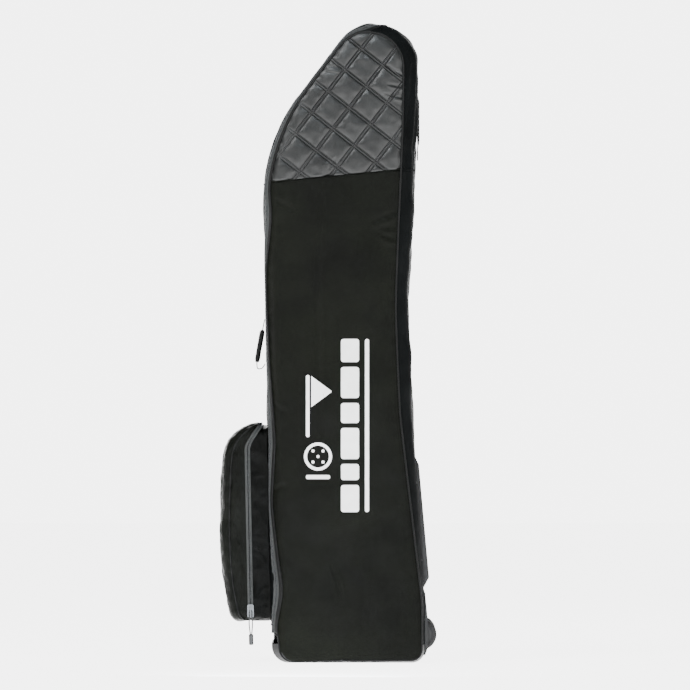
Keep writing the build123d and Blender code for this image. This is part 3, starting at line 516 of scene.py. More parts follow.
# The near side's front seam wanders between the side and the front of the case:
# height in metres, and how far it has crept in millimetres.
WANDER = {
    0.02: 10, 0.04: 16, 0.065: 16, 0.095: 9, 0.13: -1, 0.16: -2, 0.20: 5, 0.32: 21, 0.38: 14, 0.44: 7,
    0.52: 13, 0.61: 20, 0.73: 25, 0.79: 24, 0.86: 9, 0.90: 4, 0.95: 9, 1.00: 4, 1.06: 0,
}
S_HINGE = s_on_front(HINGE_Z)
S_APEX = s_on_top(ZIP_APEX_Y)
WANDER_S = np.array([0.0] + [s_on_front(z) for z in WANDER] + [LENGTH])
WANDER_BY = np.array([0.0, *WANDER.values(), 0.0]) * MM


def wander(s, w):
    """How far the cloth at (s, w) has crept towards the front, on the near side."""
    fine = np.linspace(0, LENGTH, 1200)
    rough = np.interp(fine, WANDER_S, WANDER_BY)
    kernel = np.hanning(25)
    soft = np.convolve(rough, kernel / kernel.sum(), "same")
    creep = np.interp(np.mod(s, LENGTH), fine, soft)
    fade = np.interp(w, [20 * MM, 115 * MM, 175 * MM, 330 * MM], [0, 1, 1, 0])
    return creep * fade


def cloth_at(s, w, lift=0.0):
    """Where the cloth marked (s, w) lies on the skin."""
    s, w = np.broadcast_arrays(np.asarray(s, float), np.asarray(w, float))
    return skin(s, w - wander(s, w), lift)


# ---------------------------------------------------------------- mesh helpers
def ripple(a, b, seed, size):
    """Smooth random field over coordinates a and b, about -1 to 1, features of `size`."""
    own = np.random.default_rng(seed)
    total = np.zeros(np.broadcast(a, b).shape)
    for _ in range(14):
        angle, phase = own.uniform(0, math.pi), own.uniform(0, 2 * math.pi)
        wave = own.uniform(0.6, 1.7) * size
        total += np.sin((a * math.cos(angle) + b * math.sin(angle)) * 2 * math.pi / wave + phase)
    return total / 4.5


def crease(a, b, start, end, width, depth):
    """One soft fold from start to end in coordinates a and b, deepest in its middle."""
    (a0, b0), (a1, b1) = start, end
    length = math.hypot(a1 - a0, b1 - b0)
    u = ((a - a0) * (a1 - a0) + (b - b0) * (b1 - b0)) / length
    v = ((a - a0) * (b0 - b1) + (b - b0) * (a1 - a0)) / length
    reach = np.clip(1 - ((u - length / 2) / (length / 2)) ** 2, 0, 1)
    bend = width * (0.6 + 0.4 * reach)
    profile = np.exp(-((v / bend) ** 2)) - 0.6 * np.exp(-(((v - 1.8 * bend) / (1.3 * bend)) ** 2))
    return -depth * reach * profile


def add_mesh(name, points, faces, materials, body, replaces=(), face_slots=None):
    """A smooth mesh riding on a body; face_slots gives each face's material."""
    mesh = bpy.data.meshes.new(name)
    mesh.from_pydata([tuple(p) for p in points], [], [tuple(int(i) for i in f) for f in faces])
    for material in materials:
        mesh.materials.append(material)
    if face_slots is not None:
        mesh.polygons.foreach_set("material_index", np.asarray(face_slots, dtype=np.int32))
    mesh.polygons.foreach_set("use_smooth", [True] * len(mesh.polygons))
    mesh.update()
    piece = bpy.data.objects.new(name, mesh)
    bpy.context.collection.objects.link(piece)
    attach(piece, body)
    if replaces:
        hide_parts(*replaces)
    return piece


def grid_faces(rows, cols, start=0, flip=False):
    """Quads of a grid whose first point is number `start`."""
    i = np.arange(rows - 1)[:, None] * cols + np.arange(cols - 1)[None, :] + start
    quad = np.stack([i, i + 1, i + cols + 1, i + cols], -1).reshape(-1, 4)
    return quad[:, ::-1] if flip else quad


def grid_normals(grid):
    """Unit normals of a grid of points."""
    du, dv = np.gradient(grid, axis=0), np.gradient(grid, axis=1)
    normal = np.cross(dv, du)
    return normal / np.maximum(np.linalg.norm(normal, axis=-1, keepdims=True), 1e-12)


def rim_faces(rows, cols, inner):
    """Faces that close the edge between two equal grids, the second starting at `inner`."""
    ring = list(range(cols))
    ring += [i * cols + cols - 1 for i in range(1, rows)]
    ring += [(rows - 1) * cols + j for j in range(cols - 2, -1, -1)]
    ring += [i * cols for i in range(rows - 2, 0, -1)]
    faces = []
    for a, b in zip(ring, ring[1:] + ring[:1]):
        faces.append((a, a + inner, b + inner, b))
    return faces


def sheet_solid(outer, outward, thickness):
    """Vertices and faces of a closed skin: an outer grid and one `thickness` inside it."""
    rows, cols = outer.shape[:2]
    normal = grid_normals(outer)
    flip = (normal * outward).sum() >= 0
    if not flip:
        normal = -normal
    inner = outer - normal * np.asarray(thickness)
    points = np.concatenate([outer.reshape(-1, 3), inner.reshape(-1, 3)])
    count = rows * cols
    front = grid_faces(rows, cols, 0, not flip)
    back = grid_faces(rows, cols, count, flip)
    rim = np.array(rim_faces(rows, cols, count))
    if not flip:
        rim = rim[:, ::-1]
    faces = np.concatenate([front, back, rim])
    slots = np.concatenate([np.zeros(len(front)), np.ones(len(back)), np.zeros(len(rim))])
    return points, faces, slots


def outward_of(outer):
    """Direction from the case's middle to each point, to tell its outer side by."""
    middle = np.array([0.0, -0.02, 0.64])
    away = outer - middle
    away[..., 2] *= 0.2
    return away


def soft_panel(name, outer, material, body, replaces=(), thickness=CLOTH, outward=None, lining=None):
    """A closed sheet of cloth from a grid of its outer side, lined within."""
    outward = outward_of(outer) if outward is None else np.asarray(outward, float)
    points, faces, slots = sheet_solid(outer, outward, thickness)
    return add_mesh(
        name, points, faces, [material, lining or BLACK["lining"]], body, replaces, slots
    )


def tube(name, path, radius, material, body, replaces=(), sides=10, closed=False):
    """A round tube along a path of points."""
    path = np.asarray(path, float)
    if closed:
        tangent = np.roll(path, -1, 0) - np.roll(path, 1, 0)
    else:
        tangent = np.gradient(path, axis=0)
    tangent /= np.linalg.norm(tangent, axis=1, keepdims=True)
    side = np.cross(tangent[0], (0.3, 0.5, 0.8))
    points = []
    for p, t in zip(path, tangent):
        side = side - t * np.dot(side, t)
        side /= np.linalg.norm(side)
        other = np.cross(t, side)
        for k in range(sides):
            a = 2 * math.pi * k / sides
            points.append(p + radius * (math.cos(a) * side + math.sin(a) * other))
    count, faces = len(path), []
    for i in range(count if closed else count - 1):
        for k in range(sides):
            a, b = i * sides + k, i * sides + (k + 1) % sides
            c, d = ((i + 1) % count) * sides + (k + 1) % sides, ((i + 1) % count) * sides + k
            faces.append((a, b, c, d))
    if not closed:
        faces.append(tuple(range(sides))[::-1])
        faces.append(tuple((count - 1) * sides + k for k in range(sides)))
    return add_mesh(name, points, faces, [material], body, replaces)


# ---------------------------------------------------------------- zip line
def zip_line():
    """The main zip's line as (s, w) rows, from the near foot over the hood to the far foot."""
    s_foot, s_turn = s_on_front(TAPE_FOOT + 4 * MM), s_on_top(ZIP_APEX_Y - ZIP_CORNER)
    s_run = np.linspace(s_foot, s_turn, 620)
    half = [(s, BAND + (seam_w(s) - BAND) * (ZIP_X - BAND) / (SIDE - BAND)) for s in s_run]
    for k in range(1, 41):
        a = math.pi / 2 * k / 40
        x = ZIP_X - ZIP_CORNER + ZIP_CORNER * math.cos(a)
        s = s_on_top(ZIP_APEX_Y - ZIP_CORNER + ZIP_CORNER * math.sin(a))
        w = x if x < BAND else BAND + (seam_w(s) - BAND) * (x - BAND) / (SIDE - BAND)
        half.append((s, float(w)))
    corner = half[-1][1]
    half += [(S_APEX, corner * (1 - k / 24)) for k in range(1, 25)]
    half = np.array(half)
    far = half[:-1][::-1] * (1, -1)
    return np.vstack([half, far])


ZIP_LINE = zip_line()
_run = np.gradient(ZIP_LINE, axis=0)
_run /= np.hypot(*_run.T)[:, None]
ZIP_SIDE = np.stack([_run[:, 1], -_run[:, 0]], 1)  # towards the front panel
if ZIP_SIDE[0, 1] > 0:
    ZIP_SIDE = -ZIP_SIDE


def by_zip(offset):
    """The zip's line moved `offset` towards the front panel, in (s, w)."""
    return ZIP_LINE + ZIP_SIDE * offset


def zip_half(offset, s):
    """Half width of the front panel's side of a line `offset` inside the zip, at s."""
    rows = by_zip(offset)
    rows = rows[: len(rows) // 2]
    order = np.argsort(rows[:, 0])
    return np.interp(s, rows[order, 0], rows[order, 1])


def zip_ribbon(name, start, end, lift, material, body, replaces, keep, thickness=1.0 * MM):
    """Tape beside the rows `keep` of the zip's line, from one offset to another."""
    offsets = np.linspace(start, end, 7)
    grid = []
    for offset in offsets:
        rows = by_zip(offset)[keep]
        limit = seam_w(rows[:, 0]) - 1.0 * MM
        w = np.clip(rows[:, 1], -limit, limit)
        hem = 0.25 * MM * np.sin(np.arange(len(rows)) * 0.9) * (offset == offsets[-1])
        edge = 0.35 * MM if offset in (offsets[0], offsets[-1]) else 0
        grid.append(cloth_at(rows[:, 0], w, lift - edge + hem))
    return soft_panel(name, np.array(grid), material, body, replaces, thickness, lining=material)


def teeth_along(name, place, up, body, replaces, width=COIL_WIDTH, height=1.3 * MM):
    """Zip coil along a line: one small rounded tooth after another."""
    run = run_along(place)
    even = (np.arange(int(run[-1] / TOOTH_PITCH)) + 0.5) * TOOTH_PITCH
    centre, up = sample(even, run, place), sample(even, run, up)
    up /= np.linalg.norm(up, axis=1, keepdims=True)
    ahead = np.gradient(centre, axis=0)
    ahead /= np.linalg.norm(ahead, axis=1, keepdims=True)
    side = np.cross(up, ahead)
    profile = [(-0.5, 0.0), (-0.42, 0.75), (0.0, 1.0), (0.42, 0.75), (0.5, 0.0)]
    points, faces = [], []
    for c, u, a, b in zip(centre, up, ahead, side):
        base = len(points)
        for end in (-1, 1):
            for x, z in profile:
                reach = end * TOOTH_PITCH * (0.42 - 0.12 * z)
                points.append(c + b * x * width + u * z * height + a * reach)
        n = len(profile)
        for k in range(n - 1):
            faces.append((base + k, base + k + 1, base + n + k + 1, base + n + k))
        faces.append(tuple(base + k for k in range(n))[::-1])
        faces.append(tuple(base + n + k for k in range(n)))
        faces.append((base + n - 1, base, base + n, base + 2 * n - 1))
    return add_mesh(name, points, faces, [COIL], body, replaces)


def zip_teeth(name, offset, lift, body, replaces, keep):
    """The main zip's coil on one side of its line."""
    rows = by_zip(offset)[keep]
    place = cloth_at(rows[:, 0], rows[:, 1], lift)
    up = cloth_at(rows[:, 0], rows[:, 1], lift + 1 * MM) - place
    return teeth_along(name, place, up, body, replaces)


def add_main_zip():
    """Tapes, the case's hem over its tape, and the coil, on both sides of the main zip."""
    every = slice(None)
    door = np.where(ZIP_LINE[:, 0] > S_HINGE + 1 * MM)[0]
    above_hinge = slice(door[0], door[-1] + 1)
    zip_ribbon("zip_tape_case", -ZIP_GAP, -HEM_WIDTH, TAPE_LIFT, TAPE, "case", ["main_zip_tape_case"], every)
    zip_ribbon("zip_hem_case", -HEM_FROM, -HEM_WIDTH - 1 * MM, 1.2 * MM, BLACK["piping"], "case", [], every,
               thickness=1.4 * MM)
    zip_ribbon("zip_tape_door", ZIP_GAP, ZIP_GAP + TAPE_WIDTH, TAPE_LIFT, TAPE, "front_door",
               ["main_zip_tape_door"], above_hinge)
    middle = ZIP_GAP + COIL_WIDTH / 2
    zip_teeth("zip_coil_case", -middle, COIL_LIFT, "case", ["main_zip_coil_case"], every)
    zip_teeth("zip_coil_door", middle, COIL_LIFT, "front_door", ["main_zip_coil_door"], above_hinge)


# ---------------------------------------------------------------- front, back and base
def band_grid(s_rows, half, columns, relief=None):
    """A grid on the band: rows at s, columns across from -half(s) to half(s)."""
    share = np.linspace(-1, 1, columns)
    s = np.asarray(s_rows)[:, None] + 0 * share
    w = np.asarray(half)[:, None] * share
    lift = 0 * s if relief is None else relief(s, w)
    return cloth_at(s, w, lift)


def edge_fade(distance, reach):
    """0 at an edge, rising to 1 further in than `reach`."""
    return 1 - np.exp(-np.maximum(distance, 0) / reach)


def add_front_panels():
    """The lid that the main zip opens: its lower panel and the part over the hood."""
    s_split = s_on_front(HOOD_LOW[2] - 4 * MM)
    s_top = S_APEX - PANEL_TUCK

    def relief(s, w):
        half = zip_half(PANEL_TUCK, s)
        inside = edge_fade(half - np.abs(w), 16 * MM)
        soft = 2.2 * MM * ripple(s, w, 3, 0.16) + 0.8 * MM * ripple(s, w, 4, 0.05)
        pucker = 0.7 * MM * np.sin(s / 6.5 / MM + 2 * np.sin(s * 31))
        pucker = pucker * np.exp(-(half - np.abs(w)) / (12 * MM))
        return soft * inside + pucker - 0.4 * MM

    low = np.linspace(S_HINGE + 0.6 * MM, s_split - 0.3 * MM, 170)
    soft_panel("front_cloth", band_grid(low, zip_half(PANEL_TUCK, low), 56, relief), BLACK["band"],
               "front_door", ["front_panel"])
    t = np.linspace(0, 1, 70)
    high = s_split + 0.3 * MM + (s_top - s_split) * np.sin(t * math.pi / 2) ** 0.9
    high = np.minimum(high, s_top)
    soft_panel("hood_front_cloth", band_grid(high, zip_half(PANEL_TUCK, high), 56, relief), BLACK["band"],
               "front_door", ["hood_front_panel"])
    seam = cloth_at(np.full(60, s_split), np.linspace(-1, 1, 60) * zip_half(PANEL_TUCK, s_split), 0.6 * MM)
    tube("front_seam_roll", seam, 1.3 * MM, BLACK["band"], "front_door", sides=8)


def add_back_panels():
    """Everything behind the zip: the back of the hood and the long back panel."""
    s_split = s_on_back(HOOD_LOW[2] + 24 * MM)
    s_foot = s_on_back(BASE_TOP)

    def relief(s, w):
        inside = edge_fade(seam_w(s) - np.abs(w), 14 * MM)
        z = along_s(BAND_LINE, s)[..., 1]
        soft = 2.6 * MM * ripple(s, w, 11, 0.19) + 1.0 * MM * ripple(s, 1.6 * w, 12, 0.055)
        stiff = np.interp(z, [0.40, 0.50], [0.12, 1])
        gather = np.exp(-(((z - 1.15) / 0.09) ** 2)) * np.exp(-(((np.abs(w) - 0.14) / 0.035) ** 2))
        folds = 2.2 * MM * np.sin(w / 3.1 / MM + 3 * np.sin(s * 9)) * gather
        strips = 1.7 * MM * np.sin(w / 3.6 / MM + 1.5 * np.sin(s * 14))
        strips = strips * np.interp(z, [0.95, 1.0, 1.2, 1.24], [0, 1, 1, 0])
        strips = strips * np.exp(-(((np.abs(w) - 0.142) / 0.016) ** 2))
        return soft * inside * stiff + folds + strips

    hood_rows = np.linspace(S_APEX + PANEL_TUCK, s_split - 0.3 * MM, 110)
    soft_panel("hood_back_cloth", band_grid(hood_rows, seam_w(hood_rows) - 1 * MM, 120, relief),
               BLACK["band"], "case", ["hood_back_panel"])
    rows = np.linspace(s_split + 0.3 * MM, s_foot, 240)
    soft_panel("back_cloth", band_grid(rows, seam_w(rows) - 1 * MM, 90, relief), BLACK["band"], "case",
               ["back_panel"])
    for side, sign in (("near", 1), ("far", -1)):
        rows = np.linspace(s_on_top(ZIP_APEX_Y - ZIP_CORNER - 12 * MM), S_APEX + PANEL_TUCK + 0.4 * MM, 30)
        inner, outer = zip_half(-PANEL_TUCK, rows), seam_w(rows) - 1 * MM
        share = np.linspace(0, 1, 26)
        w = inner[:, None] + (outer - inner)[:, None] * share
        s = rows[:, None] + 0 * share
        soft_panel(f"hood_corner_cloth_{side}", cloth_at(s, sign * w, 0.0), BLACK["band"], "case")
    seam = cloth_at(np.full(90, s_split), np.linspace(-1, 1, 90) * (seam_w(s_split) - 2 * MM), 0.6 * MM)
    tube("back_seam_roll", seam, 1.3 * MM, BLACK["band"], "case", sides=8)


def add_skirt():
    """Strip of cloth under the lid's fold line, and the roll of cloth along that line."""
    rows = np.linspace(s_on_front(BASE_TOP), S_HINGE - 0.4 * MM, 22)
    half = zip_half(PANEL_TUCK, rows)
    soft_panel("front_skirt_cloth", band_grid(rows, half, 50), BLACK["band"], "case", ["front_skirt"])
    fold = cloth_at(np.full(60, S_HINGE - 0.6 * MM), np.linspace(-1, 1, 60) * half[-1], 0.0)
    tube("fold_line_roll", fold, 1.6 * MM, BLACK["band"], "case", sides=8)


# ---------------------------------------------------------------- side panels
def add_side(side, sign):
    """One side: the tall lower panel and the quilted hood above it."""
    creep = 1.0 if sign > 0 else 0.0
    seam = SEAM_LINE
    split_front, split_back = HOOD_LOW[2], HOOD_LOW[2] + 27 * MM
    slope = (split_back - split_front) / (HOOD_HIGH[1] - HOOD_LOW[1])

    top = int(np.argmax(seam[:, 1]))
    front = seam[int(STEPS * 0.03): top + 1]
    back = seam[top: int(STEPS * 0.985)]

    def y_at(edge, z):
        order = np.argsort(edge[:, 1])
        return np.interp(z, edge[order, 1], edge[order, 0])

    def row(level, lean, columns):
        """Points from the front seam to the back one, which slope with the hood by `lean`."""
        y0, z0 = y_at(front, level), level
        y1, z1 = y_at(back, level), level
        for _ in range(6):
            z1 = level + lean * slope * (y1 - y0)
            y1 = y_at(back, z1)
        t = 0.5 - 0.5 * np.cos(np.linspace(0, math.pi, columns))
        t = 0.35 * t + 0.65 * np.linspace(0, 1, columns)
        return np.stack([y0 + (y1 - y0) * t, z0 + (z1 - z0) * t], -1)

    def settle(flat, height):
        """Lay a (y, z) grid on the side, pulling its edge round onto the seam."""
        shape = flat.shape[:2]
        rows = flat.reshape(-1, 2)
        distance = np.empty(len(rows))
        nearest = np.empty(len(rows), int)
        for i in range(0, len(rows), 4000):
            gap = ((rows[i:i + 4000, None] - seam[None, ::2]) ** 2).sum(-1)
            nearest[i:i + 4000] = gap.argmin(1) * 2
            distance[i:i + 4000] = np.sqrt(gap.min(1))
        s = S_AXIS[nearest]
        w = seam_w(s) + distance
        raised = np.interp(rows[:, 1], [0.05, 0.08], [1.2 * MM, 0.0])
        moved = skin(s, w - creep * wander(s, w), raised) - sharp_skin(s, w)
        close = distance < 0.2
        points = np.concatenate([np.full((len(rows), 1), SIDE), rows], 1)
        points[close] += moved[close]
        points[:, 0] += height(rows[:, 0], rows[:, 1], distance) - 0.5 * MM
        points[:, 0] *= sign
        return points.reshape(*shape, 3), distance.reshape(shape)

    def plain(y, z, distance):
        """Height of the lower panel: slack cloth with puckers along its seam."""
        belly = 7 * MM * (1 - (1 - np.minimum(distance / 0.11, 1)) ** 2)
        belly *= np.interp(z, [0, 0.12, 0.5, 0.9, 1], [0.25, 0.7, 1, 0.8, 0.35])
        soft = 2.6 * MM * ripple(y, 0.5 * z, 21 + sign, 0.16) + 0.7 * MM * ripple(y, 0.6 * z, 22, 0.06)
        run = np.where(np.abs(y) > 0.08, z, y)
        pucker = 0.55 * MM * np.sin(run / 4.6 / MM + 2.2 * np.sin(run * 23)) * np.exp(-distance / (13 * MM))
        dips = sum(crease(y, z, *fold) for fold in SIDE_FOLDS)
        stitched = -0.5 * MM * np.exp(-(((distance - 6 * MM) / (1.1 * MM)) ** 2))
        return belly + soft * edge_fade(distance, 30 * MM) + pucker + dips + stitched

    def quilted(y, z, distance):
        """Height of the hood panel: puffed cells between lines of stitching."""
        angle = math.radians(QUILT_ANGLE)
        y0, z0 = HOOD_LOW[1] + QUILT_FROM[0], HOOD_LOW[2] + QUILT_FROM[1]
        u = (y - y0) * math.cos(angle) + (z - z0) * math.sin(angle)
        v = -(y - y0) * math.sin(angle) + (z - z0) * math.cos(angle)
        du = np.abs(u / QUILT_PITCH - np.round(u / QUILT_PITCH)) * QUILT_PITCH
        dv = np.abs(v / QUILT_PITCH - np.round(v / QUILT_PITCH)) * QUILT_PITCH
        inside = [np.maximum(d - STITCH_APART, 0) for d in (du, dv)]
        puff = (1 - np.exp(-inside[0] / (5 * MM))) * (1 - np.exp(-inside[1] / (5 * MM)))
        cell = np.sin(12.9 * np.round(u / QUILT_PITCH - 0.5) + 78.2 * np.round(v / QUILT_PITCH - 0.5))
        puff = puff * (3.6 + 0.7 * cell) * MM
        groove = 0.5 * MM * np.exp(-((np.minimum(du, dv) / STITCH_APART - 1) ** 2) / 0.2)
        fade = edge_fade(distance - 4 * MM, 10 * MM)
        from_front = y - (z - z0) / math.tan(angle)
        front_fade = np.interp(from_front, [HOOD_LOW[1] - 0.02, HOOD_LOW[1] + 0.05], [0.45, 1])
        radial = 0.45 * MM * np.sin((u + v) / 3.4 / MM + 3 * cell) * np.exp(-np.minimum(du, dv) / (7 * MM))
        soft = 1.6 * MM * ripple(y, z, 33, 0.11) + 0.45 * MM * ripple(y, z, 34, 0.03)
        run = z + 0.6 * y
        pucker = 0.8 * MM * np.sin(run / 4.2 / MM + 2.5 * np.sin(run * 27)) * np.exp(-distance / (12 * MM))
        dips = sum(crease(y, z, *fold) for fold in HOOD_FOLDS)
        base = 3.5 * MM * (1 - (1 - np.minimum(distance / 0.07, 1)) ** 2)
        return base + (puff - groove + radial) * fade * front_fade + soft * fade + pucker + dips

    gap = 0.5 * MM
    levels = np.concatenate([
        PANEL_LOW[2] + 40 * MM * (1 - np.cos(np.linspace(0, math.pi / 2, 18))),
        np.linspace(PANEL_LOW[2] + 40 * MM, split_front - gap, 190)[1:],
    ])
    flat = np.array([row(z, np.interp(z, [0.1, 0.85], [0, 1]), 84) for z in levels])
    grid, _ = settle(flat, plain)
    soft_panel(f"side_cloth_{side}", grid, BLACK["panel"], "case", [f"side_panel_{side}"],
               outward=(sign, 0, 0))
    height = HOOD_HIGH[2] - split_front - gap - 0.5 * MM
    rise = np.sin(np.linspace(0, math.pi / 2, 230)) ** 0.85
    levels = split_front + gap + height * rise
    flat = []
    for z in levels:
        lean = np.interp(z, [split_front, split_front + 0.85 * height, split_front + height], [1, 0.5, 0])
        flat.append(row(z, lean, 200))
    grid, _ = settle(np.array(flat), quilted)
    soft_panel(f"hood_quilt_{side}", grid, BLACK["quilt"], "case", [f"hood_side_{side}"],
               outward=(sign, 0, 0))
    line = row(split_front, 1, 120)
    seam_grid, _ = settle(line[None], lambda y, z, d: 1.2 * MM + 0 * y)
    tube(f"hood_seam_{side}", seam_grid[0][1:-1], 1.4 * MM, BLACK["panel"], "case", sides=8)
    s = np.linspace(0, LENGTH, 700)[:-1]
    w = seam_w(s)
    ring = skin(s, w - creep * wander(s, w), 1.0 * MM)
    ring[:, 0] *= sign
    tube(f"piping_roll_{side}", ring, PIPING_R, BLACK["piping"], "case", [f"piping_{side}"], closed=True)


SIDE_FOLDS = [
    ((-0.036, 0.205), (-0.012, 0.125), 3 * MM, 2.9 * MM),
    ((-0.050, 0.98), (-0.052, 0.40), 5 * MM, 1.3 * MM),
    ((0.104, 0.905), (0.040, 0.880), 5 * MM, 2.9 * MM),
    ((0.104, 0.872), (0.055, 0.868), 4 * MM, 2.2 * MM),
    ((0.103, 0.842), (0.050, 0.862), 4 * MM, 2.3 * MM),
    ((-0.150, 0.93), (-0.100, 0.905), 5 * MM, 2.2 * MM),
    ((-0.150, 0.52), (-0.110, 0.50), 5 * MM, 2.3 * MM),
    ((-0.148, 0.34), (-0.105, 0.36), 5 * MM, 2.5 * MM),
]
HOOD_FOLDS = [
    ((0.118, 1.168), (0.066, 1.200), 3.5 * MM, 3.2 * MM),
    ((0.118, 1.150), (0.075, 1.158), 3 * MM, 2.6 * MM),
    ((0.112, 1.128), (0.070, 1.140), 3 * MM, 2.2 * MM),
    ((-0.050, 1.196), (-0.014, 1.190), 3 * MM, 1.8 * MM),
    ((-0.046, 1.182), (-0.018, 1.178), 2.5 * MM, 1.6 * MM),
    ((-0.040, 0.985), (-0.026, 1.012), 3 * MM, 2.2 * MM),
    ((-0.022, 0.985), (-0.030, 1.004), 2.5 * MM, 2.0 * MM),
]


# ---------------------------------------------------------------- shoe pocket
POCKET_LOW, POCKET_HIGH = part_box("pocket_flap")
POCKET_HALF = POCKET_HIGH[0]
POCKET_FLOOR, POCKET_ROOF = POCKET_LOW[2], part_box("pocket_gusset")[1][2]
POCKET_EDGE = 18 * MM
POCKET_TAPE = 5.6 * MM
POCKET_FACE = {  # the pocket's outline in millimetres: height, and how far forward it reaches
    84: 210, 84.4: 218, 87: 226, 92: 232, 100: 236, 110: 238, 130: 242, 154: 246.5, 190: 250, 226: 252.4,
    270: 254, 322: 253.6, 346: 252.6, 394: 250.4, 418: 248, 432: 244, 444: 238, 454: 230, 462: 221,
    468: 212, 473: 202, 476.6: 192, 478: 182,
}
POCKET_ZIP = {  # in millimetres: height, and how far forward the pocket's zip runs
    84: 196.8, 426: 203.8, 432: 203.0, 438: 201.2, 446: 197.0, 454: 191.6, 462: 186.4, 470: 179.8,
    478: 174,
}


def table_at(table, z):
    """y at height z, from a table of heights and distances forward."""
    heights = np.array(list(table)) * MM
    return -np.interp(z, heights, np.array(list(table.values())) * MM)


def pocket_half(z):
    """Half width of the pocket's flat side at height z, less near its floor and roof."""
    near = np.minimum(z - POCKET_FLOOR, POCKET_ROOF - z)
    short = np.clip(POCKET_EDGE - near, 0, POCKET_EDGE)
    return POCKET_HALF - POCKET_EDGE + np.sqrt(POCKET_EDGE ** 2 - short ** 2)


def pocket_panel_y(z):
    """The case's front face behind the pocket."""
    return along_s(BAND_LINE, np.interp(z, BAND_LINE[FRONT_ROWS, 1], S_AXIS[FRONT_ROWS]))[..., 0]


def pocket_ring(step=3 * MM):
    """The zip's closed line round the pocket, with outward directions: up the near side first."""
    rise = np.linspace(0, math.pi / 2, 12)
    corner = np.stack([np.sin(rise), 1 - np.cos(rise)], 1) * POCKET_EDGE
    low = POCKET_FLOOR + POCKET_EDGE
    high = POCKET_ROOF - POCKET_EDGE
    inner = POCKET_HALF - POCKET_EDGE
    plan = [(inner + x, POCKET_FLOOR + z) for x, z in corner]
    plan += [(POCKET_HALF, z) for z in np.arange(low + step, high, step)]
    plan += [(inner + x, POCKET_ROOF - z) for x, z in corner[::-1]]
    plan += [(x, POCKET_ROOF) for x in np.arange(inner - step, -inner, -step)]
    near_side = 2 * len(corner) + len(np.arange(low + step, high, step))
    plan += [(-x, z) for x, z in plan[:near_side][::-1]]
    plan += [(x, POCKET_FLOOR) for x in np.arange(-inner + step, inner, step)]
    plan = np.array(plan)
    along = np.roll(plan, -1, 0) - np.roll(plan, 1, 0)
    along /= np.linalg.norm(along, axis=1, keepdims=True)
    out = np.stack([along[:, 1], 0 * along[:, 0], -along[:, 0]], 1)
    return np.stack([plan[:, 0], table_at(POCKET_ZIP, plan[:, 1]), plan[:, 1]], 1), out


def pocket_folds(a, z, seed, size):
    """Slack cloth: long soft swells with sharper folds between them."""
    swell = ripple(a, z, seed, 0.11)
    fold = 1 - np.abs(ripple(a * 1.6, z, seed + 1, 0.075))
    fine = ripple(a, z, seed + 2, 0.028)
    return size * (0.55 * swell + 0.45 * np.clip(fold, 0, 1) ** 3 + 0.16 * fine)


